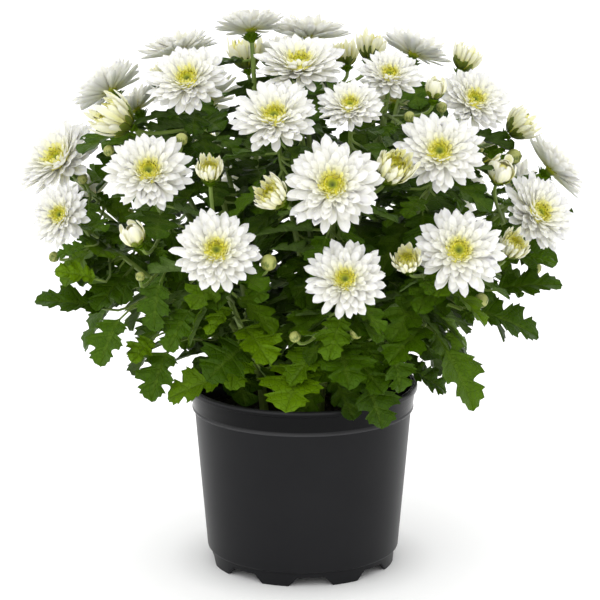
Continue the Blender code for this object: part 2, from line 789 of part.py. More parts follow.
def cut(obj, cutters):
    """Cuts the shells from the object."""
    holes = bpy.data.collections.new(obj.name + "_cutters")
    bpy.context.scene.collection.children.link(holes)
    for i, shell in enumerate(cutters):
        add_object(f"{obj.name}_cutter_{i}", shell, obj.data.materials[0], holes)
    difference = obj.modifiers.new("Cut", "BOOLEAN")
    difference.operation = "DIFFERENCE"
    difference.operand_type = "COLLECTION"
    difference.collection = holes
    difference.solver = "EXACT"
    apply_modifier(obj, difference)
    for cutter in list(holes.objects):
        bpy.data.objects.remove(cutter)
    bpy.data.collections.remove(holes)


# Pot and soil


def inner_radius(height):
    """The radius of the pot's inside at a height below its rim band."""
    share = (height - BODY_FOOT_HEIGHT) / (BODY_TOP_HEIGHT - BODY_FOOT_HEIGHT)
    return BODY_FOOT_RADIUS + (BODY_TOP_RADIUS - BODY_FOOT_RADIUS) * share - WALL


def pot_shell():
    profile = (
        (0.0, FLOOR_UNDER),
        (FOOT_RADIUS - FOOT_WALL, FLOOR_UNDER),
        (FOOT_RADIUS - FOOT_WALL, 0.0),
        (FOOT_RADIUS, 0.0),
        (FOOT_RADIUS + STEP_SLOPE / 2, FOOT_HEIGHT),
        (BODY_FOOT_RADIUS - STEP_SLOPE, FOOT_HEIGHT + STEP_SLOPE),
        (BODY_FOOT_RADIUS, BODY_FOOT_HEIGHT),
        (BODY_TOP_RADIUS, BODY_TOP_HEIGHT),
        (RIM_FOOT_RADIUS, RIM_FOOT_HEIGHT),
        (RIM_RADIUS, POT_HEIGHT - LIP_DEPTH),
        (RIM_RADIUS - LIP_ROUNDING, POT_HEIGHT),
        (RIM_RADIUS - LIP_WIDTH, POT_HEIGHT),
        (RIM_RADIUS - LIP_WIDTH - LIP_ROUNDING, POT_HEIGHT - LIP_DEPTH),
        (RIM_FOOT_RADIUS - WALL, RIM_FOOT_HEIGHT + STEP_SLOPE),
        (inner_radius(BODY_TOP_HEIGHT), BODY_TOP_HEIGHT - STEP_SLOPE),
        (inner_radius(FLOOR_TOP), FLOOR_TOP),
        (0.0, FLOOR_TOP),
    )
    return turned(profile, POT_SIDES)


def notch_cutter(bearing):
    """A wedge that widens towards the foot's edge and runs out through the foot's wall."""
    out, across = facing(bearing, 0.0), facing(bearing + 90.0, 0.0)
    points = []
    for reach in (FOOT_RADIUS - NOTCH_INWARD, FOOT_RADIUS + NOTCH_OUTWARD):
        for half, height in (
            (NOTCH_FOOT_WIDTH / 2 + NOTCH_FLARE, -CUT_MARGIN / 2),
            (NOTCH_TOP_WIDTH / 2, NOTCH_HEIGHT),
        ):
            points.append(out * reach - across * half + UP * height)
            points.append(out * reach + across * half + UP * height)
    faces = [(2, 3, 1, 0), (5, 7, 6, 4), (1, 5, 4, 0), (6, 7, 3, 2), (4, 6, 2, 0), (3, 7, 5, 1)]
    return Shell(points, faces)


def post(centre, radius, low, high):
    """An upright cylinder."""
    path = [Vector((centre.x, centre.y, low)), Vector((centre.x, centre.y, high))]
    return tube(path, (radius, radius), HOLE_SIDES)


def make_pot():
    pot = add_object("pot", pot_shell(), material(*PLASTIC))
    cutters = [notch_cutter(NOTCH_BEARING + 360.0 * k / NOTCHES) for k in range(NOTCHES)]
    for k in range(DRAIN_HOLES):
        middle = facing(NOTCH_BEARING + 360.0 * (k + 0.5) / DRAIN_HOLES, 0.0) * DRAIN_RING
        cutters.append(post(middle, DRAIN_RADIUS, FLOOR_UNDER - CUT_MARGIN, FLOOR_TOP + CUT_MARGIN))
    cut(pot, cutters)


def soil_height(radius, angle):
    """The crumbly top of the soil, low at the wall."""
    wave = sum(math.sin(around * angle + outward * radius) for around, outward in SOIL_WAVES)
    return SOIL_TOP + SOIL_BUMP * wave - SOIL_EDGE_DROP * (radius / RIM_RADIUS) ** 4


def make_soil():
    foot, rim = FLOOR_TOP + GAP, SOIL_TOP - SOIL_SHOULDER
    profile = [(0.0, foot), (inner_radius(foot) - GAP, foot), (inner_radius(rim) - GAP, rim)]
    for ring in range(SOIL_RINGS, -1, -1):
        profile.append(((inner_radius(rim) - SOIL_INSET) * ring / SOIL_RINGS, SOIL_TOP))
    shell = turned(profile, SOIL_SIDES)
    for i, point in enumerate(shell.points):
        if point.z > rim + MM:
            radius, angle = math.hypot(point.x, point.y), math.atan2(point.y, point.x)
            shell.points[i] = Vector((point.x, point.y, soil_height(radius, angle)))
    soil = add_object("soil", shell, material(*EARTH))
    holes = []
    for plant in range(TRUNKS):
        centre = trunk_point(plant, TRUNK_FOOT)
        low, high = TRUNK_FOOT - HOLE_DEEPER, SOIL_TOP + HOLE_ABOVE
        holes.append(post(centre, TRUNK_RADIUS + HOLE_PLAY, low, high))
    cut(soil, holes)


# Plants


def make_shoots():
    """Every stem: five trunks, a shoot to each open head, then the side stems."""
    trunks = [trunk_shoot(plant) for plant in range(TRUNKS)]
    shoots = [head_shoot(head) for head in OPEN_HEADS]
    side = [side_shoot(head, shoots) for head in HALF_OPEN_HEADS + CREAM_BUDS]
    buds = [green_bud(head, shoots) for head in GREEN_BUDS]
    return trunks, shoots, side + buds


def make_leaves(trunks, shoots, side, heads):
    """Every leaf shell with its plant, the seen ones first."""
    thicket, stems = Thicket(), Thicket()
    thicket.add(tree_of(pot_shell()))
    for head in heads:
        thicket.add(tree_of(head))
    for shoot in trunks + shoots + side:
        stems.add(shoot.tree, shoot.plant)
    leaves = []

    def keep(plant, whole):
        if whole is not None:
            thicket.add(tree_of(whole))
            leaves.append((plant, whole))

    for leaf in SEEN_LEAVES + tuple(back_leaves()):
        keep(*seen_leaf(leaf, shoots, thicket, stems))
    draw = random.Random(SHOOT_LEAF_SEED)
    for i, (shoot, head) in enumerate(zip(shoots, OPEN_HEADS)):
        shares = HIGH_SHOOT_LEAVES if head.rise > HIGH_SHOOT_RISE else LOW_SHOOT_LEAVES
        for k, share in enumerate(shares):
            turn = GOLDEN_ANGLE * (3 * i + k)
            keep(shoot.plant, shoot_leaf(shoot, share, turn, draw, thicket, stems))
    return leaves


def back_leaves():
    """The low drooping leaves of the sides and the back."""
    draw = random.Random(BACK_LEAF_SEED)
    for k in range(BACK_LEAVES):
        bearing = BACK_LEAF_FROM + (BACK_LEAF_TO - BACK_LEAF_FROM) * k / (BACK_LEAVES - 1)
        out, height = BACK_LEAF_SEATS[k % len(BACK_LEAF_SEATS)]
        pitch = draw.uniform(*BACK_LEAF_PITCH)
        length = draw.uniform(*BACK_LEAF_LENGTH)
        faces = bearing + draw.uniform(-1, 1) * BACK_LEAF_TURN
        yield Leaf(bearing, out, height, faces, pitch, 0, length, length * BACK_LEAF_WIDTH)


def make_plants():
    green, white = material(*GREEN), material(*WHITE)
    trunks, shoots, side = make_shoots()
    draw = random.Random(HEAD_SEED)
    heads = []
    for kind, rows, make in (
        ("bloom", OPEN_HEADS, open_bloom),
        ("half_bloom", HALF_OPEN_HEADS, half_open_bloom),
        ("cream_bud", CREAM_BUDS, cream_bud),
    ):
        for i, head in enumerate(rows):
            shell = make(head, draw)
            heads.append(shell)
            add_object(f"{kind}_{i + 1:02d}", shell, white)
    leaves = make_leaves(trunks, shoots, side, heads)
    for plant in range(TRUNKS):
        shells = [s.shell for s in trunks + shoots + side if s.plant == plant]
        shells += [shell for owner, shell in leaves if owner == plant]
        join_all(f"plant_{plant + 1}", shells, green)


def main():
    for obj in list(bpy.data.objects):
        bpy.data.objects.remove(obj)
    make_pot()
    make_soil()
    make_plants()


main()
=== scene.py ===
"""The pot chrysanthemum in its finished look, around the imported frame.

The origin is at the middle of the pot's foot, +Z is up and the front is towards -Y.
Bearings turn round the pot from the front towards +X. Lifts and pitches rise from level.
"""

import json
import math
import random
from collections import namedtuple

import bpy
import numpy as np
from mathutils import Matrix, Vector
from mathutils.bvhtree import BVHTree

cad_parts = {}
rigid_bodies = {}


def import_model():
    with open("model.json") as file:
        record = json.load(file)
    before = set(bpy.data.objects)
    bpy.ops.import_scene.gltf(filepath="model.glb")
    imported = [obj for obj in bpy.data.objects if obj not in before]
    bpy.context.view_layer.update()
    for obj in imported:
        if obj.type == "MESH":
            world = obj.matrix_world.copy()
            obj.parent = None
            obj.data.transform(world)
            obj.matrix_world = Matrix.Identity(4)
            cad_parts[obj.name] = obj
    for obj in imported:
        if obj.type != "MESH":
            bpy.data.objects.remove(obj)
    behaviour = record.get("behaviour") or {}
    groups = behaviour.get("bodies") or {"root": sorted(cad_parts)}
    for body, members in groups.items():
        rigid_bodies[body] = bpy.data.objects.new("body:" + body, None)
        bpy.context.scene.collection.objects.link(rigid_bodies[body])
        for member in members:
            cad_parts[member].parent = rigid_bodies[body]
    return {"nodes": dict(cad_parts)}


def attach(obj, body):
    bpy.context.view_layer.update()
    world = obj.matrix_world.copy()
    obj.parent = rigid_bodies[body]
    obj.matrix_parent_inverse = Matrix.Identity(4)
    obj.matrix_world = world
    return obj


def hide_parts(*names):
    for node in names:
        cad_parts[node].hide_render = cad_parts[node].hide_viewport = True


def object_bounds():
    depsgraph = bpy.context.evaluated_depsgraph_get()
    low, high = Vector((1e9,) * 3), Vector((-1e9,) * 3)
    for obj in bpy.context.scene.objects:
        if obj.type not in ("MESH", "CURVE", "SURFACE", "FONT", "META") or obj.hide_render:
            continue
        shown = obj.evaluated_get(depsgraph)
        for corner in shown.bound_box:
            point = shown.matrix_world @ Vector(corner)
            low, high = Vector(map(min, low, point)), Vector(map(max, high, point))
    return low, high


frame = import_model()
cad_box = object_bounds()

MM = 0.001
UP = Vector((0.0, 0.0, 1.0))
GOLDEN_ANGLE = 137.5
GAP = 0.3 * MM
RIM_RADIUS = 75.0 * MM
BODY_TOP_RADIUS = 71.0 * MM
BODY_TOP_HEIGHT = 104.4 * MM
BODY_FOOT_RADIUS = 63.0 * MM
BODY_FOOT_HEIGHT = 11.6 * MM
FOOT_RADIUS = 60.0 * MM
WALL = 1.7 * MM
FLOOR_UNDER = 8.0 * MM
FLOOR_TOP = 10.2 * MM
NOTCHES = 8
NOTCH_BEARING = 5.0
NOTCH_FOOT_WIDTH = 30.0 * MM
NOTCH_TOP_WIDTH = 18.0 * MM
NOTCH_HEIGHT = 6.0 * MM
NOTCH_FLARE = 0.6 * MM
NOTCH_INWARD = 12.0 * MM
NOTCH_OUTWARD = 8.0 * MM
CUT_MARGIN = 2.0 * MM
DRAIN_HOLES = 4
DRAIN_RADIUS = 5.0 * MM
DRAIN_RING = 40.0 * MM
HOLE_SIDES = 24
SOIL_TOP = 101.0 * MM
SOIL_BUMP = 0.8 * MM
SOIL_WAVES = ((3, 300), (5, -170))
SOIL_SHOULDER = 5.0 * MM
SOIL_EDGE_DROP = 3.0 * MM
TRUNKS = 5
TRUNK_BEARING = 20.0
TRUNK_RING = 31.0 * MM
TRUNK_RADIUS = 3.1 * MM
TRUNK_FOOT = 76.0 * MM
TRUNK_TOP = 146.0 * MM
TRUNK_LEAN = 6.0 * MM
TRUNK_NECK = 4.0 * MM
TRUNK_TAPER = 0.7
FIRST_FORK = 116.0 * MM
LAST_FORK = 142.0 * MM
SHOOT_RADIUS = 1.9 * MM
NECK_RADIUS = 1.25 * MM
PEDICEL_RADIUS = 1.0 * MM
SHOOT_STEPS = 3
SIDE_STEPS = 2
STEM_SIDES = 4
TRUNK_SIDES = 5
FORK_RISES = (-5.0, 75.0)
SHOOT_UPWARD = 0.35
SHOOT_HANDLES = (0.33, 0.28)
SIDE_RADIUS = 1.1 * MM
SIDE_HANDLE = 0.30
SIDE_FORKS = (0.35, 0.85)
BUD_FORKS = (0.35, 0.92)
FORK_TRIES = 12
BEND_COST = 30.0 * MM
SHORT_RUN = 14.0 * MM
SHORT_COST = 40.0 * MM
CALYX_HEIGHTS = (-6.0 * MM, -1.8 * MM, 0.0)
CALYX_RADII = (NECK_RADIUS, 4.4 * MM, 4.3 * MM)
SIDE_CALYX = 0.72
KNOB_FOOT = 1.1
KNOB_RINGS = ((-0.45, 0.95), (0.35, 0.98), (0.95, 0.45))

# Dome: the rounded shell on which the flower heads sit
DOME_CENTRE = Vector((0.0, 0.0, 222.0 * MM))
DOME_RADII = Vector((160.0 * MM, 150.0 * MM, 128.0 * MM))

# Heads: bearing and rise of the middle on the dome, reach as a share of the dome's radii,
# width across in millimetres, and the bearing and the lift of the way that the head faces
Head = namedtuple("Head", "bearing rise reach across faces lift")
OPEN_HEADS = (
    Head(-41, 27, 1.00, 56, 0, 41),
    Head(-19, 8, 1.00, 56, -1, 38),
    Head(9, 1, 1.00, 52, -5, 33),
    Head(7, 26, 1.00, 62, -3, 31),
    Head(36, 6, 1.00, 58, 8, 30),
    Head(38, 33, 1.00, 57, 0, 38),
    Head(-9, 46, 1.00, 57, -8, 52),
    Head(16, 50, 1.00, 44, -4, 56),
    Head(-53, 56, 1.00, 55, -17, 48),
    Head(-2, 66, 1.00, 61, 0, 67),
    Head(42, 60, 1.00, 43, 5, 55),
    Head(72, 45, 1.00, 50, 22, 46),
    Head(-76, 8, 1.00, 44, -28, 26),
    Head(-90, 20, 1.04, 64, -49, 46),
    Head(-97, 42, 1.06, 53, -128, 47),
    Head(69, 10, 1.00, 56, 41, 33),
    Head(89, 18, 1.06, 52, 107, 37),
    Head(-129, 75, 1.05, 49, -168, 68),
    Head(175, 71, 1.00, 56, 167, 78),
    Head(108, 62, 1.01, 50, 136, 62),
    Head(-106, 60, 1.04, 54, -131, 75),
    Head(113, 7, 1.00, 55, 116, 34),
    Head(139, 4, 1.00, 57, 138, 31),
    Head(165, 9, 1.00, 54, 168, 36),
    Head(-168, 4, 1.00, 58, -167, 32),
    Head(-142, 8, 1.00, 53, -143, 35),
    Head(-115, 3, 1.00, 56, -116, 31),
    Head(124, 34, 1.00, 56, 126, 50),
    Head(152, 31, 1.00, 58, 150, 47),
    Head(180, 34, 1.00, 55, 178, 50),
    Head(-151, 31, 1.00, 57, -150, 47),
    Head(-123, 33, 1.00, 46, -121, 49),
    Head(-175, 53, 1.00, 48, -176, 63),
)
HALF_OPEN_HEADS = (
    Head(-7, 23.5, 1.00, 22, -55, 38),
    Head(23, 5, 1.00, 19, -11, 47),
    Head(23, 30, 1.00, 26, 40, 52),
    Head(54, 4, 1.00, 20, 36, 52),
    Head(100, 52, 1.08, 21, 125, 60),
    Head(93, 31, 1.02, 24, 94, 35),
    Head(-157, 53, 1.00, 27, -151, 78),
    Head(163, 52, 1.00, 20, -165, 72),
    Head(148, 58, 1.00, 22, 156, 66),
    Head(-71, 39, 1.00, 31, -80, 31),
    Head(-124, 47, 1.00, 20, -112, 57),
    Head(-24, 29.5, 0.99, 18, -3, 66),
    Head(127, 15, 1.00, 22, 127, 42),
    Head(-155, 13, 1.00, 22, -155, 42),
)
CREAM_BUDS = (
    Head(-40, 9, 1.00, 15, -53, 57),
    Head(56, 24, 1.00, 17, 20, 51),
    Head(54, 51, 1.00, 13, 56, 79),
)
GREEN_BUDS = (
    Head(-8, 5, 0.93, 10, 17, 61),
    Head(-2, -18, 0.93, 7, -40, 54),
    Head(13, -17, 0.93, 8, 39, 54),
    Head(85, 25, 0.93, 10, 21, 67),
    Head(-83, -6, 1.01, 7, -95, 22),
    Head(-40, 39, 0.93, 8, 4, 69),
    Head(-71, 30, 0.93, 7, -52, 55),
    Head(-83, 18, 0.93, 7, -52, 56),
    Head(-42, -3, 0.93, 6, 6, 73),
    Head(83, -10, 0.95, 9, 41, 65),
    Head(49, -12, 0.93, 9, 23, 71),
    Head(40, 47, 0.93, 7, -4, 68),
    Head(60, 48, 0.93, 7, -5, 68),
    Head(152, 8, 0.95, 9, 152, 60),
    Head(-129, -4, 0.95, 8, -129, 55),
    Head(-178, 17, 0.95, 9, -178, 60),
    Head(124, -9, 0.95, 8, 120, 55),
    Head(-137, 26, 0.95, 8, -137, 60),
)
BLOOM_CENTRE_HEIGHT = 6.0 * MM
YOUNG_MIDDLE = 0.6
HALF_MIDDLE = 0.75

# Leaves: half of the lobed outline, as shares of the length and of the width
LEAF_OUTLINE = ((0.0, 0.035), (0.20, 0.38), (0.34, 0.23), (0.55, 0.50), (0.68, 0.28), (0.87, 0.26))
LEAF_RIB = (0.34, 0.68)
LEAF_STALK = 0.24
LEAF_KEEL = 1.5 * MM
LEAF_CLEARANCE = 0.45 * MM
LEAF_CURL = 0.22
LEAF_FOLD = 0.24
LEAF_TURNS = (0, 14, -14, 28, -28)
LEAF_LIFTS = (0, 12, -12, 24, -24)
PETIOLE_SHARE = 0.8
PETIOLE_FORKS = (0.06, 0.80)

# Seen leaves: where the base of the blade is, as bearing, distance out and height; the way the
# rib runs, as bearing and pitch; roll about the rib; length and width
Leaf = namedtuple("Leaf", "bearing out height faces pitch roll length width")
SEEN_LEAVES = (
    Leaf(-77, 129, 177, -79, 18, -24, 45, 30),
    Leaf(-66, 127, 176, -40, -46, 0, 32, 30),
    Leaf(-60, 111, 164, -39, -26, -15, 20, 20),
    Leaf(-36, 118, 193, -43, -37, 0, 30, 28),
    Leaf(-57, 102, 156, -36, -50, 0, 33, 29),
    Leaf(-32, 92, 146, -92, -16, -35, 40, 27),
    Leaf(-19, 111, 172, -43, -16, -25, 34, 34),
    Leaf(-18, 117, 186, 38, -22, 5, 32, 31),
    Leaf(0, 98, 158, -19, -23, 0, 37, 40),
    Leaf(-68, 148, 224, -70, -10, -20, 18, 14),
    Leaf(-65, 143, 204, -75, 22, -30, 26, 20),
    Leaf(-21, 123, 199, -50, -28, 0, 22, 20),
    Leaf(-43, 129, 210, -30, -62, 0, 30, 24),
    Leaf(54, 101, 171, 48, -44, 0, 56, 40),
    Leaf(68, 121, 179, 83, -12, 25, 40, 32),
    Leaf(72, 128, 192, 84, 14, 28, 42, 28),
    Leaf(66, 149, 219, 75, 0, 15, 22, 14),
    Leaf(11, 116, 175, 13, -21, 0, 35, 35),
    Leaf(38, 121, 182, -37, -13, -15, 38, 30),
    Leaf(23, 95, 149, 35, -47, 0, 35, 34),
    Leaf(32, 104, 165, 40, -59, 0, 26, 26),
    Leaf(53, 84, 143, 90, -24, 25, 29, 23),
)

# Leaves on the shoots, as shares of the way up, and low leaves round the sides and the back
LOW_SHOOT_LEAVES = (0.44, 0.62, 0.80)
HIGH_SHOOT_LEAVES = (0.52, 0.80)
HIGH_SHOOT_RISE = 40
SHOOT_LEAF_ALONG = 0.5
SHOOT_LEAF_OUTWARD = 0.7
SHOOT_LEAF_PITCH = (-58.0, -12.0)
SHOOT_LEAF_ROLL = (-15.0, 15.0)
SHOOT_LEAF_LENGTH = (40.0, 54.0)
SHOOT_LEAF_SHRINK = (1.25, 0.45)
SHOOT_LEAF_WIDTH = 0.6
SHOOT_LEAF_SEED = 7
BACK_LEAVES = 12
BACK_LEAF_FROM = 95.0
BACK_LEAF_TO = 265.0
BACK_LEAF_SEATS = ((96, 153), (120, 176))
BACK_LEAF_PITCH = (-62.0, -40.0)
BACK_LEAF_LENGTH = (38.0, 48.0)
BACK_LEAF_TURN = 20.0
BACK_LEAF_WIDTH = 0.75
BACK_LEAF_SEED = 3

# Inner leaves: small ones that fill the plant between the large ones. Each round has shares of the
# way up a shoot, and the least and the greatest length in millimetres
INNER_ROUNDS = (
    ((0.22, 0.50, 0.74, 0.90), 36.0, 50.0),
    ((0.14, 0.36, 0.62, 0.82), 30.0, 44.0),
    ((0.28, 0.43, 0.56, 0.68, 0.94), 26.0, 38.0),
    ((0.10, 0.33, 0.48, 0.78, 0.86), 22.0, 32.0),
    ((0.25, 0.45, 0.60, 0.71, 0.83), 34.0, 46.0),
    ((0.18, 0.39, 0.53, 0.65, 0.90), 24.0, 36.0),
    ((0.31, 0.42, 0.57, 0.69, 0.80, 0.88), 27.0, 42.0),
    ((0.35, 0.47, 0.63, 0.76, 0.85, 0.92), 22.0, 34.0),
)
SIDE_LEAF_SHARES = (0.3, 0.62)
SIDE_LEAF_LENGTH = (13.0, 22.0)
INNER_ALONG = 0.35
INNER_PITCH = (-45.0, 20.0)
INNER_ROLL = (-25.0, 25.0)
INNER_WIDTH = (0.55, 0.7)
INNER_SHIFT = 0.03
INNER_SEED = 13

# Slots of a plant's finishes after the leaf's own, which is 0
STEM_SLOT = 1
BUD_SLOT = 2

# A shell is a closed coarse form; a fit is a leaf's shell with the frame, leaf and stalk that made it
Shell = namedtuple("Shell", "points faces")
Fit = namedtuple("Fit", "shell frame leaf stalk")


def facing(bearing, lift):
    """The unit vector at a bearing round the pot, lifted above level, both in degrees."""
    turn, rise = math.radians(bearing), math.radians(lift)
    return Vector((math.sin(turn) * math.cos(rise), -math.cos(turn) * math.cos(rise), math.sin(rise)))


def dome_point(head):
    """Where a head's middle sits on the dome."""
    way = facing(head.bearing, head.rise)
    return DOME_CENTRE + Vector(w * r for w, r in zip(way, DOME_RADII)) * head.reach


def frame_on(origin, axis, turn=0.0):
    """The matrix of a frame at origin with its Z along axis, turned about it in degrees."""
    aim = axis.to_track_quat("Z", "Y").to_matrix() @ Matrix.Rotation(math.radians(turn), 3, "Z")
    return Matrix.Translation(origin) @ aim.to_4x4()


def curve_point(start, start_way, end_way, end, t):
    """The point of a cubic curve at a share t of it."""
    s = 1 - t
    return start * s**3 + start_way * 3 * s * s * t + end_way * 3 * s * t * t + end * t**3


def bezier(start, start_way, end_way, end, steps):
    """Points along a cubic curve from start to end, with its two handles."""
    return [curve_point(start, start_way, end_way, end, i / steps) for i in range(steps + 1)]


def ring_frames(path):
    """A pair of side vectors at each point of the path, carried along it without twist."""
    frames = []
    side = None
    for i in range(len(path)):
        ahead = path[min(i + 1, len(path) - 1)]
        behind = path[max(i - 1, 0)]
        way = (ahead - behind).normalized()
        if side is None:
            side = way.orthogonal().normalized()
        side = (side - way * side.dot(way)).normalized()
        frames.append((side, way.cross(side)))
    return frames


def ring_points(path, radii, sides, ribs=0.0):
    """The points of a tube's rings; ribs raises every second point of a ring."""
    points = []
    for centre, radius, (side, other) in zip(path, radii, ring_frames(path)):
        for k in range(sides):
            angle = math.tau * k / sides
            reach = radius * (1.0 + ribs * (k % 2))
            points.append(centre + side * (reach * math.cos(angle)) + other * (reach * math.sin(angle)))
    return points


def grid_faces(rows, columns, closed=False):
    """Triangles of a grid of points, row after row; closed joins its last column to its first."""
    faces = []
    span = columns if closed else columns - 1
    for i in range(rows - 1):
        for j in range(span):
            n = (j + 1) % columns
            a, b, c, d = i * columns + j, i * columns + n, (i + 1) * columns + n, (i + 1) * columns + j
            faces.append((a, b, c))
            faces.append((a, c, d))
    return np.array(faces)


def tube(path, radii, sides):
    """A closed tube along the path, with a radius at each of its points."""
    points = ring_points(path, radii, sides)
    faces = [tuple(face) for face in grid_faces(len(path), sides, closed=True).tolist()]
    faces += [tuple(reversed(range(sides))), tuple(range(len(points) - sides, len(points)))]
    return Shell(points, faces)


def leaf_blade(length, width, stalk=0.0):
    """A lobed blade in its own frame: X along the rib, Z up; its first three points are the base.

    A stalk share keeps that much of the length, from the base, as a narrow stalk.
    """

    def at(x, y):
        along = stalk + (1.0 - stalk) * x if x > 0 else 0.0
        droop = -LEAF_CURL * length * along * along
        return Vector((along * length, y * width, droop + abs(y) * width * LEAF_FOLD))

    rib_depth = Vector((0.0, 0.0, LEAF_KEEL))
    points = [at(0.0, LEAF_OUTLINE[0][1]), at(0.0, -LEAF_OUTLINE[0][1]), at(0.0, 0.0) - rib_depth]
    upper_rib, lower_rib = [], []
    for x in LEAF_RIB:
        upper_rib.append(len(points))
        points.append(at(x, 0.0))
        lower_rib.append(len(points))
        points.append(at(x, 0.0) - rib_depth)
    tip = len(points)
    points.append(at(1.0, 0.0))
    faces = [(0, 2, 1), (0, 1, upper_rib[0]), (2, 0, lower_rib[0]), (1, 2, lower_rib[0])]
    for side in (1, -1):
        edge = [0 if side > 0 else 1]
        for x, y in LEAF_OUTLINE[1:]:
            edge.append(len(points))
            points.append(at(x, y * side))
        base, first_lobe, first_bay, second_lobe, second_bay, shoulder = edge
        for rib, up in ((upper_rib, 1), (lower_rib, -1)):
            half = [
                (base, rib[0], first_lobe),
                (first_lobe, rib[0], first_bay),
                (first_bay, rib[0], rib[1]),
                (first_bay, rib[1], second_lobe),
                (second_lobe, rib[1], second_bay),
                (second_bay, rib[1], shoulder),
                (shoulder, rib[1], tip),
            ]
            faces += [f if side * up > 0 else f[::-1] for f in half]
    return Shell(points, faces)


def with_petiole(blade, start):
    """The blade and its three-sided petiole, which begins at start, as one closed shell."""
    points = list(blade.points)
    centre = (points[0] + points[1] + points[2]) / 3
    first = len(points)
    for k in range(3):
        points.append(start + (points[k] - centre) * PETIOLE_SHARE)
    faces = blade.faces[1:] if blade.faces[0] == (0, 2, 1) else list(blade.faces)
    faces = faces + [(first, first + 2, first + 1)]
    for low, high in ((0, 1), (1, 2), (2, 0)):
        faces.append((first + low, first + high, high))
        faces.append((first + low, high, low))
    return Shell(points, faces)


def placed(shell, matrix):
    """The shell, through the matrix."""
    return Shell([matrix @ p for p in shell.points], shell.faces)


def swollen(shell, by):
    """The shell with each point moved out along the mean of its faces' normals."""
    normals = [Vector() for _ in shell.points]
    for face in shell.faces:
        a, b, c = (shell.points[i] for i in face[:3])
        normal = (b - a).cross(c - a).normalized()
        for i in face:
            normals[i] += normal
    points = [p + n.normalized() * by for p, n in zip(shell.points, normals)]
    return Shell(points, shell.faces)


def tree_of(shell):
    """A search tree of the shell, to test it against others."""
    return BVHTree.FromPolygons(shell.points, shell.faces)


class Shoot:
    """A stem of one plant: the coarse path of its solid, and the curve that the fine stem follows."""

    def __init__(self, plant, path, shell, curve, head=None):
        self.plant = plant
        self.path = path
        self.curve = curve
        self.head = head
        self.tree = tree_of(shell)

    def smooth(self, share):
        """The point of the fine stem at a share of its curve."""
        if len(self.curve) == 4:
            return curve_point(*self.curve, share)
        return self.at(share)

    def at(self, share):
        """The point at a share of the path's steps."""
        place = share * (len(self.path) - 1)
        i = min(int(place), len(self.path) - 2)
        return self.path[i].lerp(self.path[i + 1], place - i)

    def way(self, share):
        """The way that the path runs at a share of it."""
        i = min(int(share * (len(self.path) - 1)), len(self.path) - 2)
        return (self.path[i + 1] - self.path[i]).normalized()


def trunk_point(plant, height):
    """The middle of a plant's trunk at a height."""
    bearing = 360.0 * plant / TRUNKS + TRUNK_BEARING
    lean = TRUNK_LEAN * max(height - SOIL_TOP, 0.0) / (TRUNK_TOP - SOIL_TOP)
    foot = facing(bearing, 0.0) * (TRUNK_RING + lean)
    return Vector((foot.x, foot.y, height))


def plant_of(bearing):
    """The plant whose sector of the pot holds this bearing."""
    return round((bearing - TRUNK_BEARING) * TRUNKS / 360.0) % TRUNKS


def neck_of(head, base_height):
    """The foot of a head that faces its own way."""
    return dome_point(head) - facing(head.faces, head.lift) * base_height


def calyx(foot, axis, size):
    """Ring centres and radii of the cup under a head whose foot is at foot."""
    centres = [foot - axis * (GAP - height * size) for height in CALYX_HEIGHTS]
    return centres, [radius * size for radius in CALYX_RADII]


def trunk_shoot(plant):
    """The upright trunk of a plant."""
    heights = (TRUNK_FOOT, SOIL_TOP + TRUNK_NECK, TRUNK_TOP)
    path = [trunk_point(plant, h) for h in heights]
    radii = (TRUNK_RADIUS, TRUNK_RADIUS, TRUNK_RADIUS * TRUNK_TAPER)
    return Shoot(plant, path, tube(path, radii, TRUNK_SIDES), path)


def head_shoot(head):
    """The shoot from a trunk's fork to an open head, ending in its calyx."""
    plant = plant_of(head.bearing)
    axis = facing(head.faces, head.lift)
    foot = neck_of(head, BLOOM_CENTRE_HEIGHT)
    lowest, highest = FORK_RISES
    share = (head.rise - lowest) / (highest - lowest)
    fork = trunk_point(plant, FIRST_FORK + (LAST_FORK - FIRST_FORK) * share)
    cup, cup_radii = calyx(foot, axis, 1.0)
    span = (cup[0] - fork).length
    away = ((cup[0] - fork).normalized() + UP * SHOOT_UPWARD).normalized()
    first, last = (handle * span for handle in SHOOT_HANDLES)
    curve = (fork, fork + away * first, cup[0] - axis * last, cup[0])
    path = bezier(*curve, SHOOT_STEPS)
    taper = NECK_RADIUS - SHOOT_RADIUS
    radii = [SHOOT_RADIUS + taper * i / SHOOT_STEPS for i in range(SHOOT_STEPS)]
    shell = tube(path[:-1] + cup, radii + cup_radii, STEM_SIDES)
    return Shoot(plant, path, shell, curve, head)


def nearest_fork(shoots, foot, axis, forks):
    """The shoot and share from which a side stem reaches foot best, between the shares in forks."""
    best = None
    lowest, highest = forks
    for shoot in shoots:
        for step in range(FORK_TRIES + 1):
            share = lowest + (highest - lowest) * step / FORK_TRIES
            start = shoot.at(share)
            run = foot - start
            bend = run.normalized().dot((shoot.way(share) + axis).normalized())
            short = SHORT_COST if run.length < SHORT_RUN else 0.0
            cost = run.length + BEND_COST * (1.0 - bend) + short
            if best is None or cost < best[0]:
                best = (cost, shoot, share)
    return best[1], best[2]


def side_curve(shoot, share, foot, axis):
    """The curve of a side stem, from a share of its shoot to foot."""
    start = shoot.at(share)
    run = foot - start
    away = (shoot.way(share) + run.normalized()).normalized()
    handle = run.length * SIDE_HANDLE
    return start, start + away * handle, foot - axis * handle, foot


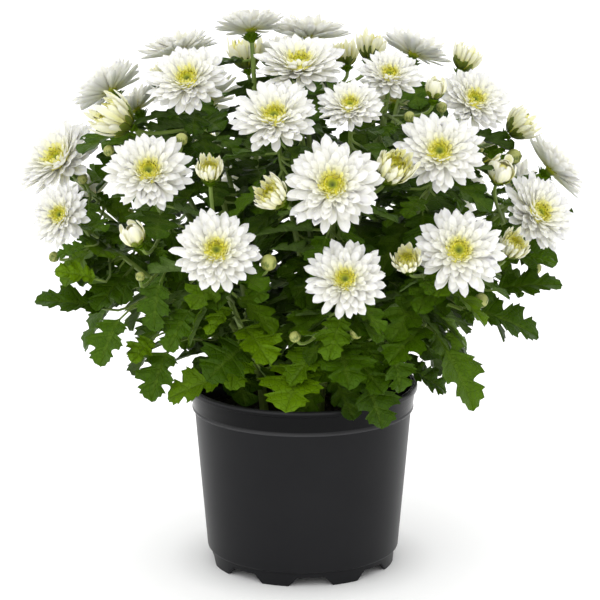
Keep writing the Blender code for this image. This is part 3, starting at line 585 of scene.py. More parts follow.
def side_shoot(head, shoots):
    """The stem of a half-open head or a cream bud, forking from the nearest shoot."""
    axis = facing(head.faces, head.lift)
    middle = HALF_MIDDLE if head in HALF_OPEN_HEADS else YOUNG_MIDDLE
    foot = neck_of(head, middle * head.across * MM / 2)
    cup, cup_radii = calyx(foot, axis, SIDE_CALYX)
    parent, share = nearest_fork(shoots, cup[0], axis, SIDE_FORKS)
    curve = side_curve(parent, share, cup[0], axis)
    path = bezier(*curve, SIDE_STEPS)
    radii = [SIDE_RADIUS] * SIDE_STEPS
    shell = tube(path[:-1] + cup, radii + cup_radii, STEM_SIDES)
    return Shoot(parent.plant, path, shell, (parent.smooth(share), *curve[1:]), head)


def green_bud(head, shoots):
    """A tight green bud and its pedicel."""
    axis = facing(head.faces, head.lift)
    middle = dome_point(head)
    radius = head.across * MM / 2
    parent, share = nearest_fork(shoots, middle, axis, BUD_FORKS)
    curve = side_curve(parent, share, middle - axis * radius * KNOB_FOOT, axis)
    path = bezier(*curve, SIDE_STEPS)
    knob = [middle + axis * radius * along for along, _ in KNOB_RINGS]
    radii = [PEDICEL_RADIUS] * (SIDE_STEPS + 1) + [radius * around for _, around in KNOB_RINGS]
    shell = tube(path + knob, radii, STEM_SIDES)
    return Shoot(parent.plant, path, shell, (parent.smooth(share), *curve[1:]), head)


class Thicket:
    """What already stands, so that a new leaf can be tested against it."""

    def __init__(self):
        self.solids = []

    def add(self, tree, plant=None):
        self.solids.append((tree, plant))

    def crosses(self, shell, spared=None):
        """Whether the shell meets a solid that doesn't belong to the spared plant."""
        tree = tree_of(shell)
        others = (solid for solid, plant in self.solids if spared is None or plant != spared)
        return any(tree.overlap(solid) for solid in others)


def leaf_frame(base, bearing, pitch, roll):
    """The frame of a blade: its rib runs at a bearing and a pitch, and it rolls about its rib."""
    rib = facing(bearing, pitch)
    side = UP.cross(rib).normalized()
    turn = Matrix((rib, side, rib.cross(side))).transposed()
    return Matrix.Translation(base) @ (turn @ Matrix.Rotation(math.radians(roll), 3, "X")).to_4x4()


def fit_leaf(thicket, stems, plant, base, leaf, start=None):
    """The leaf as given, or turned and lifted a little until it is clear; None if it never is.

    With a start it hangs on a petiole from there; without one its own stalk begins at base.
    """
    stalk = 0.0 if start else LEAF_STALK
    blade = leaf_blade(leaf.length * MM, leaf.width * MM, stalk)
    for lift in LEAF_LIFTS:
        for turn in LEAF_TURNS:
            place = leaf_frame(base, leaf.faces + turn, leaf.pitch + lift, leaf.roll)
            free = placed(blade, place)
            whole = with_petiole(free, start) if start else free
            swell = swollen(whole, LEAF_CLEARANCE)
            if thicket.crosses(swell) or stems.crosses(swell, spared=plant):
                continue
            if stems.crosses(swollen(outer_part(free), LEAF_CLEARANCE)):
                continue
            return Fit(whole, place, leaf, stalk)
    return None


def outer_part(blade):
    """The blade without the faces at its base, which may sink into its stem."""
    return Shell(blade.points, [f for f in blade.faces if not set(f) & {0, 1, 2}])


def seen_leaf(leaf, shoots, thicket, stems):
    """A leaf at a given place, on a petiole from the nearest shoot."""
    around = facing(leaf.bearing, 0.0) * leaf.out * MM
    base = Vector((around.x, around.y, leaf.height * MM))
    parent, share = nearest_fork(shoots, base, facing(leaf.faces, 0.0), PETIOLE_FORKS)
    fit = fit_leaf(thicket, stems, parent.plant, base, leaf, start=parent.at(share))
    return parent.plant, fit, parent.smooth(share)


def leaf_bearing(shoot, share, turn, along, outward=0.0):
    """The bearing of a leaf at a turn about its stem, drawn along the stem and outward by shares."""
    base, way = shoot.at(share), shoot.way(share)
    side = Matrix.Rotation(math.radians(turn), 3, way) @ way.orthogonal().normalized()
    away = Vector((base.x, base.y, 0.0)).normalized()
    reach = (side + way * along + away * outward).normalized()
    return math.degrees(math.atan2(reach.x, -reach.y))


def shoot_leaf(shoot, share, turn, draw, thicket, stems):
    """A leaf on a shoot, at a turn about it, that leans out and droops."""
    bearing = leaf_bearing(shoot, share, turn, SHOOT_LEAF_ALONG, SHOOT_LEAF_OUTWARD)
    pitch = draw.uniform(*SHOOT_LEAF_PITCH)
    full, shrink = SHOOT_LEAF_SHRINK
    length = draw.uniform(*SHOOT_LEAF_LENGTH) * (full - shrink * share)
    roll = draw.uniform(*SHOOT_LEAF_ROLL)
    leaf = Leaf(0, 0, 0, bearing, pitch, roll, length, length * SHOOT_LEAF_WIDTH)
    return shoot.plant, fit_leaf(thicket, stems, shoot.plant, shoot.at(share), leaf), shoot.smooth(share)


def inner_radius(height):
    """The radius of the pot's inside at a height below its rim band."""
    share = (height - BODY_FOOT_HEIGHT) / (BODY_TOP_HEIGHT - BODY_FOOT_HEIGHT)
    return BODY_FOOT_RADIUS + (BODY_TOP_RADIUS - BODY_FOOT_RADIUS) * share - WALL


def notch_cutter(bearing):
    """A wedge that widens towards the foot's edge and runs out through the foot's wall."""
    out, across = facing(bearing, 0.0), facing(bearing + 90.0, 0.0)
    points = []
    for reach in (FOOT_RADIUS - NOTCH_INWARD, FOOT_RADIUS + NOTCH_OUTWARD):
        for half, height in (
            (NOTCH_FOOT_WIDTH / 2 + NOTCH_FLARE, -CUT_MARGIN / 2),
            (NOTCH_TOP_WIDTH / 2, NOTCH_HEIGHT),
        ):
            points.append(out * reach - across * half + UP * height)
            points.append(out * reach + across * half + UP * height)
    faces = [(2, 3, 1, 0), (5, 7, 6, 4), (1, 5, 4, 0), (6, 7, 3, 2), (4, 6, 2, 0), (3, 7, 5, 1)]
    return Shell(points, faces)


def post(centre, radius, low, high):
    """An upright cylinder."""
    path = [Vector((centre.x, centre.y, low)), Vector((centre.x, centre.y, high))]
    return tube(path, (radius, radius), HOLE_SIDES)


def soil_height(radius, angle):
    """The crumbly top of the soil, low at the wall."""
    wave = sum(math.sin(around * angle + outward * radius) for around, outward in SOIL_WAVES)
    return SOIL_TOP + SOIL_BUMP * wave - SOIL_EDGE_DROP * (radius / RIM_RADIUS) ** 4


def make_shoots():
    """Every stem: five trunks, a shoot to each open head, then the side stems."""
    trunks = [trunk_shoot(plant) for plant in range(TRUNKS)]
    shoots = [head_shoot(head) for head in OPEN_HEADS]
    side = [side_shoot(head, shoots) for head in HALF_OPEN_HEADS + CREAM_BUDS]
    buds = [green_bud(head, shoots) for head in GREEN_BUDS]
    return trunks, shoots, side + buds


def back_leaves():
    """The low drooping leaves of the sides and the back."""
    draw = random.Random(BACK_LEAF_SEED)
    for k in range(BACK_LEAVES):
        bearing = BACK_LEAF_FROM + (BACK_LEAF_TO - BACK_LEAF_FROM) * k / (BACK_LEAVES - 1)
        out, height = BACK_LEAF_SEATS[k % len(BACK_LEAF_SEATS)]
        pitch = draw.uniform(*BACK_LEAF_PITCH)
        length = draw.uniform(*BACK_LEAF_LENGTH)
        faces = bearing + draw.uniform(-1, 1) * BACK_LEAF_TURN
        yield Leaf(bearing, out, height, faces, pitch, 0, length, length * BACK_LEAF_WIDTH)


def make_leaves(trunks, shoots, side, solids):
    """The leaves that the solids have, and the small inner ones, each as plant, fit and root."""
    thicket, stems = Thicket(), Thicket()
    for solid in solids:
        thicket.add(solid)
    for shoot in trunks + shoots + side:
        stems.add(shoot.tree, shoot.plant)
    leaves, inner = [], []

    def keep(kept, plant, fit, root):
        if fit is not None:
            thicket.add(tree_of(fit.shell))
            kept.append((plant, fit, root))

    for leaf in SEEN_LEAVES + tuple(back_leaves()):
        keep(leaves, *seen_leaf(leaf, shoots, thicket, stems))
    draw = random.Random(SHOOT_LEAF_SEED)
    for i, (shoot, head) in enumerate(zip(shoots, OPEN_HEADS)):
        shares = HIGH_SHOOT_LEAVES if head.rise > HIGH_SHOOT_RISE else LOW_SHOOT_LEAVES
        for k, share in enumerate(shares):
            turn = GOLDEN_ANGLE * (len(LOW_SHOOT_LEAVES) * i + k)
            keep(leaves, *shoot_leaf(shoot, share, turn, draw, thicket, stems))
    draw = random.Random(INNER_SEED)
    for i, (shoot, share, length) in enumerate(inner_seats(shoots, side, draw)):
        keep(inner, *inner_leaf(shoot, share, GOLDEN_ANGLE * i, length, draw, thicket, stems))
    return leaves, inner


def inner_seats(shoots, side, draw):
    """Where small leaves stand: a shoot, a share of it and a length in millimetres."""
    for shares, low, high in INNER_ROUNDS:
        for shoot in shoots:
            for share in shares:
                yield shoot, share + draw.uniform(-INNER_SHIFT, INNER_SHIFT), draw.uniform(low, high)
    for shoot in side:
        for share in SIDE_LEAF_SHARES:
            yield shoot, share, draw.uniform(*SIDE_LEAF_LENGTH)


def inner_leaf(shoot, share, turn, length, draw, thicket, stems):
    """A small leaf at a turn about its stem."""
    bearing = leaf_bearing(shoot, share, turn, INNER_ALONG)
    pitch = draw.uniform(*INNER_PITCH)
    roll = draw.uniform(*INNER_ROLL)
    leaf = Leaf(0, 0, 0, bearing, pitch, roll, length, length * draw.uniform(*INNER_WIDTH))
    return shoot.plant, fit_leaf(thicket, stems, shoot.plant, shoot.at(share), leaf), shoot.smooth(share)


# Fine meshes: gathered as arrays, one piece at a time


class Parts:
    """Points, triangles, tints and finish slots of one piece, gathered form by form."""

    def __init__(self):
        self.points, self.faces, self.tints, self.slots = [], [], [], []
        self.count = 0

    def add(self, points, faces, tints=(0.0, 0.0, 0.0), slot=0):
        points, faces = np.asarray(points, float), np.asarray(faces, int)
        self.points.append(points)
        self.faces.append(faces + self.count)
        self.tints.append(np.broadcast_to(np.asarray(tints, float), (len(points), 3)))
        self.slots.append(np.full(len(faces), slot))
        self.count += len(points)

    def mesh(self, name):
        """The gathered triangles as a mesh, kept inside the box of the solids."""
        low, high = (np.array(corner) for corner in cad_box)
        points = np.clip(np.concatenate(self.points), low, high)
        faces = np.concatenate(self.faces)
        mesh = bpy.data.meshes.new(name)
        mesh.vertices.add(len(points))
        mesh.vertices.foreach_set("co", points.astype(np.float32).ravel())
        mesh.loops.add(faces.size)
        mesh.loops.foreach_set("vertex_index", faces.astype(np.int32).ravel())
        mesh.polygons.add(len(faces))
        mesh.polygons.foreach_set("loop_start", np.arange(0, faces.size, 3, dtype=np.int32))
        return mesh

    def build(self, name, finishes, sharp=50.0):
        """The object with its finishes and tints; an edge that turns more than sharp degrees is sharp."""
        mesh = self.mesh(name)
        for finish in finishes:
            mesh.materials.append(finish)
        mesh.polygons.foreach_set("material_index", np.concatenate(self.slots).astype(np.int32))
        mesh.update(calc_edges=True)
        rgba = np.ones((self.count, 4), np.float32)
        rgba[:, :3] = np.concatenate(self.tints)
        tint = mesh.color_attributes.new("tint", "FLOAT_COLOR", "POINT")
        tint.data.foreach_set("color", rgba.ravel())
        mesh.polygons.foreach_set("use_smooth", np.ones(len(mesh.polygons), bool))
        mesh.set_sharp_from_angle(angle=math.radians(sharp))
        mesh.validate()
        obj = bpy.data.objects.new(name, mesh)
        bpy.context.scene.collection.objects.link(obj)
        return obj


def moved(points, matrix):
    """The array of points, through the matrix."""
    m = np.array(matrix)
    return points @ m[:3, :3].T + m[:3, 3]


def capped_faces(rings, sides):
    """Triangles of a stack of rings and of a fan at each end, whose two middles come after the rings."""
    count = rings * sides
    faces = [grid_faces(rings, sides, closed=True)]
    for k in range(sides):
        n = (k + 1) % sides
        faces.append([(count, n, k), (count + 1, count - sides + k, count - sides + n)])
    return np.concatenate(faces)


def fine_tube(path, radii, sides, ribs=0.0):
    """A closed tube along the path; ribs raises every second of its sides."""
    points = ring_points(path, radii, sides, ribs) + [path[0], path[-1]]
    return np.array(points), capped_faces(len(path), sides)


# Fine leaves: half of the outline as place along the rib, place across, and where its vein leaves
# the rib; then the rows that have a vein, with its strength, and the rows between which it puffs up

LOBED_OUTLINE = (
    (0.000, 0.035, 0.000),
    (0.060, 0.075, 0.020),
    (0.100, 0.200, 0.040),
    (0.138, 0.360, 0.055),
    (0.158, 0.310, 0.070),
    (0.236, 0.470, 0.090),
    (0.246, 0.400, 0.110),
    (0.325, 0.430, 0.140),
    (0.324, 0.330, 0.170),
    (0.345, 0.250, 0.210),
    (0.362, 0.210, 0.235),
    (0.385, 0.225, 0.260),
    (0.420, 0.330, 0.285),
    (0.478, 0.475, 0.315),
    (0.490, 0.420, 0.335),
    (0.585, 0.555, 0.360),
    (0.590, 0.475, 0.390),
    (0.680, 0.490, 0.420),
    (0.668, 0.385, 0.450),
    (0.682, 0.290, 0.490),
    (0.702, 0.235, 0.520),
    (0.725, 0.235, 0.550),
    (0.760, 0.290, 0.580),
    (0.826, 0.380, 0.610),
    (0.836, 0.305, 0.650),
    (0.914, 0.320, 0.690),
    (0.918, 0.220, 0.750),
    (0.975, 0.150, 0.820),
    (0.984, 0.060, 0.910),
    (1.000, 0.000, 1.000),
)
VEINS = {3: 0.45, 5: 1.0, 7: 0.35, 13: 0.45, 15: 1.0, 17: 0.35, 23: 0.9, 25: 0.35, 27: 0.3}
PUFF_BETWEEN = (0, 5, 15, 23, 29)
FINE_ACROSS = (0.0, 0.20, 0.60, 1.0)
SMALL_ACROSS = (0.0, 0.45, 1.0)
SMALL_ROWS = [0, 2, 3, 5, 7, 10, 13, 15, 17, 18, 20, 22, 23, 25, 27, 29]
NEAR_WEIGHT = 9 / 16
FAR_WEIGHT = 1 / 16

# How a blade is shaped; shares count from the rib to the edge
HALF_WIDTHS = (0.93, 1.04)
PUFF_HEIGHT = 0.9 * MM
VEIN_SINK = 0.25 * MM
RIB_SINK = 0.3 * MM
RIB_SHARE = 0.05
RIPPLE_HEIGHT = 1.2 * MM
RIPPLE_SHARES = (0.3, 1.0)
RIPPLE_WAVES = 5
LEAF_SWING = 0.05
LEAF_TWIST = 0.10
BLADE_THICKNESS = 0.32 * MM
VEIN_RELIEF = 0.3 * MM
KEEL_DEPTH = 0.9 * MM
KEEL_END = 1.1
VEIN_FADE = 0.35

# How a petiole is shaped; a stalk bends at shares of itself, sunk below the rib
STALK_BENDS = ((0.35, 0.0), (0.7, 0.3 * MM))
PETIOLE_SINK = 0.5 * MM
PETIOLE_LAP = 0.06
PETIOLE_AIM = 0.1
PETIOLE_HANDLES = (0.3, 0.35)
PETIOLE_STEPS = 5
PETIOLE_SIDES = 6
PETIOLE_RADIUS, PETIOLE_GROWTH = 0.55 * MM, 0.012
PETIOLE_FOOT, PETIOLE_TAPER = 1.35, 0.35
PETIOLE_FRESH = 0.6

LeafPattern = namedtuple("LeafPattern", "rows vein puff across faces")
LeafBend = namedtuple("LeafBend", "phase ripple swing twist")


def smoothed(rows):
    """The rows with a new one between each pair, on a smooth curve."""
    before = np.vstack([2 * rows[0] - rows[1], rows[:-1]])
    after = np.vstack([rows[1:], 2 * rows[-1] - rows[-2]])
    out = np.empty((len(rows) * 2 - 1, rows.shape[1]))
    out[0::2] = rows
    out[1::2] = (rows[:-1] + rows[1:]) * NEAR_WEIGHT - (before[:-1] + after[1:]) * FAR_WEIGHT
    return out


def leaf_marks():
    """The strength of the vein and the height of the puff on each row of the outline."""
    vein, puff = np.zeros(len(LOBED_OUTLINE)), np.zeros(len(LOBED_OUTLINE))
    for row, strength in VEINS.items():
        vein[row] = strength
    for low, high in zip(PUFF_BETWEEN, PUFF_BETWEEN[1:]):
        for row in range(low, high):
            puff[row] = math.sin(math.pi * (row - low) / (high - low))
    return vein, puff


def leaf_faces(rows, columns):
    """Triangles of both faces of a blade: its two halves share the rib, its two faces share the outline."""
    grid = grid_faces(rows, columns)
    count = rows * columns
    ids = np.arange(count).reshape(rows, columns)
    other = ids + count
    other[:, 0] = ids[:, 0]
    top = np.concatenate([grid[:, ::-1], other.ravel()[grid]])
    under = np.arange(2 * count) + 2 * count
    for half in (ids, other):
        under[half[:, -1]] = half[:, -1]
    faces = np.concatenate([top, under[top[:, ::-1]]])
    alive = (faces[:, 0] != faces[:, 1]) & (faces[:, 1] != faces[:, 2]) & (faces[:, 0] != faces[:, 2])
    return faces[alive]


def leaf_pattern(rows, vein, puff, across):
    faces = leaf_faces(len(rows), len(across))
    return LeafPattern(rows, vein[:, None], puff[:, None], np.array(across)[None, :], faces)


def small_pattern():
    """The pattern of a small leaf: only some rows of the outline."""
    vein, puff = leaf_marks()
    rows = np.array(LOBED_OUTLINE)[SMALL_ROWS]
    return leaf_pattern(rows, vein[SMALL_ROWS], puff[SMALL_ROWS], SMALL_ACROSS)


def fine_pattern():
    """The pattern of a fine leaf: a new row between each pair, puffed but without a vein."""
    vein, puff = leaf_marks()
    rows = smoothed(np.array(LOBED_OUTLINE))
    fine_vein, fine_puff = np.zeros(len(rows)), np.zeros(len(rows))
    fine_vein[0::2], fine_puff[0::2] = vein, puff
    fine_puff[1::2] = (puff[:-1] + puff[1:]) / 2
    return leaf_pattern(rows, fine_vein, fine_puff, FINE_ACROSS)


FINE_LEAF, SMALL_LEAF = fine_pattern(), small_pattern()


def leaf_half(pattern, fit, side, bend, draw):
    """The upper points of one half of a blade in its own frame, row by row."""
    length, width = fit.leaf.length * MM, fit.leaf.width * MM
    rib, v = pattern.rows[:, 2:3], pattern.across
    x = rib + (pattern.rows[:, 0:1] - rib) * v
    y = pattern.rows[:, 1:2] * v * side * draw.uniform(*HALF_WIDTHS)
    along = fit.stalk + (1.0 - fit.stalk) * x
    z = -LEAF_CURL * length * along * along + np.abs(y) * width * LEAF_FOLD
    z = z + PUFF_HEIGHT * pattern.puff * (4 * v * (1 - v))
    z = z - VEIN_SINK * pattern.vein * np.sin(np.pi * v) ** 0.5 - RIB_SINK * (v < RIB_SHARE)
    waves = np.arange(len(rib))[:, None] * (math.tau / len(rib) * RIPPLE_WAVES)
    z = z + bend.ripple * np.sin(waves + bend.phase + side) * v**2
    swung = y * width + bend.swing * length * x**2
    return np.stack([along * length, swung, z + bend.twist * swung * x], axis=-1).reshape(-1, 3)


def fine_leaf(parts, fit, root, draw, pattern, tone):
    """A lobed blade with sunken veins and its petiole, where the solid's leaf is."""
    phase, ripple = draw.uniform(0, math.tau), draw.uniform(*RIPPLE_SHARES) * RIPPLE_HEIGHT
    swing, twist = draw.uniform(-LEAF_SWING, LEAF_SWING), draw.uniform(-LEAF_TWIST, LEAF_TWIST)
    bend = LeafBend(phase, ripple, swing, twist)
    top = np.concatenate([leaf_half(pattern, fit, side, bend, draw) for side in (1, -1)])
    v = pattern.across
    depth = BLADE_THICKNESS * (1 - v**4) + VEIN_RELIEF * pattern.vein * (1 - v)
    depth = depth + KEEL_DEPTH * (1 - v) ** 5 * (KEEL_END - pattern.rows[:, 2:3])
    bottom = top.copy()
    bottom[:, 2] -= np.tile(depth.ravel(), 2)
    streak = np.maximum(pattern.vein * (1 - v) ** VEIN_FADE, (v < RIB_SHARE) * 1.0)
    under = np.repeat([0.0, 1.0], len(top))
    tints = np.stack([np.tile(streak.ravel(), 4), np.full(len(under), tone), under], axis=-1)
    parts.add(moved(np.concatenate([top, bottom]), fit.frame), pattern.faces, tints)
    petiole(parts, fit, root, tone)


def petiole(parts, fit, root, tone):
    """The stalk from the stem to the blade."""
    length = fit.leaf.length * MM

    def rib(share, sink):
        return fit.frame @ Vector((share * length, 0.0, -LEAF_CURL * length * share * share - sink))

    if fit.stalk:
        path = [root] + [rib(fit.stalk * share, sink) for share, sink in STALK_BENDS]
    else:
        start = rib(0.0, PETIOLE_SINK)
        first, last = PETIOLE_HANDLES
        back = (start - rib(PETIOLE_AIM, 0.0)).normalized() * (start - root).length * last
        path = bezier(root, root.lerp(start, first), start + back, start, PETIOLE_STEPS)
    path.append(rib(fit.stalk + PETIOLE_LAP, PETIOLE_SINK))
    thick = PETIOLE_RADIUS + PETIOLE_GROWTH * length
    radii = [thick * (1.0 - PETIOLE_TAPER * i / len(path)) for i in range(len(path))]
    radii[0] = thick * PETIOLE_FOOT
    points, faces = fine_tube(path, radii, PETIOLE_SIDES)
    parts.add(points, faces, (PETIOLE_FRESH, tone, 0.0), STEM_SLOT)


# Petals: closed blades in whorls

SLIM_ROWS = (0.0, 0.35, 0.75, 1.0)
SLIM_COLUMNS = (-1.0, 0.0, 1.0)
SLIM_RIDGES = (0.0, 0.0, 0.0)
PETAL_TIP = 0.04
TIP_FROM = 0.72
TIP_CURVE = 1.7
CUP_MIDDLE = 0.3
PETAL_THICKNESS = 0.38 * MM
WARM_FALL = 1.6

# How far the petals of a whorl differ from each other, in degrees or as shares
LIFT_PLAY = 5.0
BEND_PLAY = 9.0
REACH_MIDDLE, REACH_PLAY = 0.96, 0.07
WIDTH_PLAY = 0.13
ROLL_MIDDLE, ROLL_PLAY = 5.0, 9.0
TWIST_PLAY = 12.0
TURN_PLAY = 0.34
PETAL_STAGGER = 0.5 * MM
SHORTEST_PETAL = 0.005
STEEPEST_PETAL = 0.28

PetalForm = namedtuple("PetalForm", "rows widths columns ridges faces inner")
Petals = namedtuple("Petals", "lift bend length width roll twist turn root height")
Whorl = namedtuple("Whorl", "form count reach lift root height width bend cup warm warm_tip")


def petal_form(rows, widths, columns, ridges):
    """A petal's rows and columns with their widths and ridges; its two faces share their rim."""
    grid = grid_faces(len(rows), len(columns))[:, ::-1]
    ids = np.arange(len(rows) * len(columns)).reshape(len(rows), len(columns))
    inner = ids[1:-1, 1:-1].ravel()
    under = ids.ravel().copy()
    under[inner] = len(under) + np.arange(len(inner))
    faces = np.concatenate([grid, under[grid][:, ::-1]])
    return PetalForm(*(np.array(row) for row in (rows, widths, columns, ridges)), faces, inner)


WIDE_PETAL = petal_form(
    rows=(0.0, 0.24, 0.48, 0.70, 0.86, 0.95, 1.0),
    widths=(0.32, 0.57, 0.88, 1.0, 0.90, 0.66, 0.26),
    columns=(-1.0, -0.62, -0.30, 0.0, 0.30, 0.62, 1.0),
    ridges=(0.0, 0.022, -0.022, 0.026, -0.022, 0.022, 0.0),
)
PLAIN_PETAL = petal_form(
    rows=(0.0, 0.30, 0.58, 0.78, 0.92, 1.0),
    widths=(0.34, 0.66, 0.97, 1.0, 0.76, 0.26),
    columns=(-1.0, -0.5, 0.0, 0.5, 1.0),
    ridges=(0.0, -0.01, 0.02, -0.01, 0.0),
)
SLIM_PETAL = petal_form(SLIM_ROWS, (0.6, 0.9, 1.0, 0.5), SLIM_COLUMNS, SLIM_RIDGES)
BRACT = petal_form(SLIM_ROWS, (1.0, 0.95, 0.7, 0.15), SLIM_COLUMNS, SLIM_RIDGES)


def draw_petals(whorl, radius, draw, phase, play):
    """The petals of a whorl, each drawn a little apart from the rest; play scales how far."""
    count = whorl.count
    numbers = np.arange(count)[:, None]

    def spread(middle, by):
        return np.array([middle + by * play * draw.uniform(-1, 1) for _ in range(count)])[:, None]

    lift = np.radians(spread(whorl.lift, LIFT_PLAY))
    bend = np.radians(spread(whorl.bend, BEND_PLAY))
    reach = radius * whorl.reach * spread(REACH_MIDDLE, REACH_PLAY)
    width = radius * whorl.width * spread(1.0, WIDTH_PLAY)
    roll = np.radians(spread(ROLL_MIDDLE, ROLL_PLAY))
    twist = np.radians(spread(0.0, TWIST_PLAY))
    turn = phase + numbers * math.tau / count + spread(0.0, TURN_PLAY / count * math.tau)
    height = whorl.height * radius + np.where(numbers % 2, PETAL_STAGGER, 0.0) * play
    root = whorl.root * radius
    run = np.maximum(reach - root, SHORTEST_PETAL * radius)
    length = run / np.maximum(np.cos(lift + bend / 2), STEEPEST_PETAL)
    return Petals(lift, bend, length, width, roll, twist, turn, root, height)


def petal_points(form, petals, cup):
    """The upper and lower points of the petals: petal by petal, row by row, column by column."""
    t, s = form.rows[None, :], form.columns[None, None, :]
    theta = petals.lift + petals.bend * t
    middle = (theta[:, 1:] + theta[:, :-1]) / 2
    step = np.diff(form.rows)[None, :] * petals.length
    flat, rise = np.zeros_like(theta), np.zeros_like(theta)
    flat[:, 1:] = np.cumsum(np.cos(middle) * step, axis=1)
    rise[:, 1:] = np.cumsum(np.sin(middle) * step, axis=1)
    wide = (petals.width * form.widths[None, :])[:, :, None]
    tip = np.maximum(t - TIP_FROM, 0)[:, :, None] / (1 - TIP_FROM)
    pull = (petals.length * PETAL_TIP)[:, :, None] * np.abs(s) ** TIP_CURVE * tip
    raised = wide * (form.ridges[None, None, :] + cup * (s * s - CUP_MIDDLE))
    angle = (petals.roll + petals.twist * t)[:, :, None]
    sideways = wide / 2 * s * np.cos(angle) - raised * np.sin(angle)
    upwards = wide / 2 * s * np.sin(angle) + raised * np.cos(angle)
    cos, sin = np.cos(theta)[:, :, None], np.sin(theta)[:, :, None]
    out = petals.root + flat[:, :, None] - pull * cos - upwards * sin
    high = petals.height[:, :, None] + rise[:, :, None] - pull * sin + upwards * cos
    turn_cos, turn_sin = np.cos(petals.turn)[:, :, None], np.sin(petals.turn)[:, :, None]
    places = [out * turn_cos - sideways * turn_sin, out * turn_sin + sideways * turn_cos, high]
    top = np.stack(places, axis=-1)
    thick = PETAL_THICKNESS * (1 - np.abs(s) ** 3) * (1 - t[:, :, None] / 2)
    normal = np.stack([-sin * turn_cos, -sin * turn_sin, cos], axis=-1)
    return top, top - normal * thick[..., None]


def petal_tints(whorl):
    """For each point of a petal: how warm it is, how far across and how far along."""
    form = whorl.form
    t, s = form.rows[:, None], form.columns[None, :]
    warm = whorl.warm_tip + (whorl.warm - whorl.warm_tip) * (1 - t) ** WARM_FALL
    grid = np.stack(np.broadcast_arrays(warm, s * 0.5 + 0.5, t), axis=-1).reshape(-1, 3)
    return np.concatenate([grid, grid[form.inner]])


def petal_whorl(parts, matrix, whorl, radius, draw, phase, play=1.0, tint=None, slot=0):
    """One whorl: lengths as shares of the radius, lift and bend in degrees."""
    form, count = whorl.form, whorl.count
    cells = len(form.rows) * len(form.columns)
    petals = draw_petals(whorl, radius, draw, phase, play)
    top, below = (points.reshape(count, cells, 3) for points in petal_points(form, petals, whorl.cup))
    points = np.concatenate([top, below[:, form.inner]], axis=1)
    faces = form.faces[None] + np.arange(count)[:, None, None] * points.shape[1]
    tints = tint or np.tile(petal_tints(whorl), (count, 1))
    parts.add(moved(points.reshape(-1, 3), matrix), faces.reshape(-1, 3), tints, slot)


CORE_SIDES = 14
CORE_PLACE = (0.5, 0.2)


def fine_core(parts, matrix, rings, top, radius, warm, tint=None, slot=0):
    """The small solid body that the petals grow from: its rings and top as shares of the head's radius."""
    points, tones = [], []
    for out, height, tone in rings:
        for k in range(CORE_SIDES):
            angle = math.tau * k / CORE_SIDES
            points.append((radius * out * math.cos(angle), radius * out * math.sin(angle), radius * height))
            tones.append(tone)
    points += [(0, 0, radius * rings[0][1]), (0, 0, radius * top)]
    tones += [rings[0][2], warm]
    tints = tint or [(tone, *CORE_PLACE) for tone in tones]
    parts.add(moved(np.array(points), matrix), capped_faces(len(rings), CORE_SIDES), tints, slot)


# Flower heads: whorls from the outside in, and the rings of the core as out, height and warmth

OPEN_WHORLS = (
    Whorl(WIDE_PETAL, 19, 1.00, 5.0, 0.14, 0.10, 0.222, 9.0, 0.14, 0.44, 0.0),
    Whorl(WIDE_PETAL, 18, 0.92, 12.0, 0.155, 0.14, 0.215, 8.0, 0.15, 0.20, 0.0),
    Whorl(PLAIN_PETAL, 17, 0.82, 19.0, 0.15, 0.16, 0.200, 8.0, 0.16, 0.22, 0.0),
    Whorl(PLAIN_PETAL, 16, 0.71, 25.0, 0.15, 0.18, 0.180, 10.0, 0.17, 0.26, 0.02),
    Whorl(PLAIN_PETAL, 15, 0.59, 30.0, 0.15, 0.20, 0.155, 13.0, 0.18, 0.32, 0.05),
    Whorl(PLAIN_PETAL, 15, 0.47, 34.0, 0.15, 0.22, 0.128, 22.0, 0.20, 0.40, 0.10),
    Whorl(PLAIN_PETAL, 14, 0.35, 36.0, 0.16, 0.26, 0.105, 34.0, 0.22, 0.50, 0.18),
    Whorl(PLAIN_PETAL, 14, 0.27, 32.0, 0.165, 0.30, 0.085, 50.0, 0.22, 0.58, 0.34),
    Whorl(SLIM_PETAL, 15, 0.205, 40.0, 0.165, 0.310, 0.070, 90.0, 0.24, 0.62, 0.50),
    Whorl(SLIM_PETAL, 13, 0.160, 54.0, 0.130, 0.310, 0.060, 84.0, 0.24, 0.66, 0.56),
    Whorl(SLIM_PETAL, 11, 0.112, 64.0, 0.096, 0.300, 0.048, 34.0, 0.24, 0.80, 0.62),
)
OPEN_CORE = (
    (0.10, 0.0, 0.98),
    (0.16, 0.10, 0.85),
    (0.32, 0.27, 0.42),
    (0.30, 0.31, 0.46),
    (0.17, 0.32, 0.62),
    (0.075, 0.305, 0.88),
)
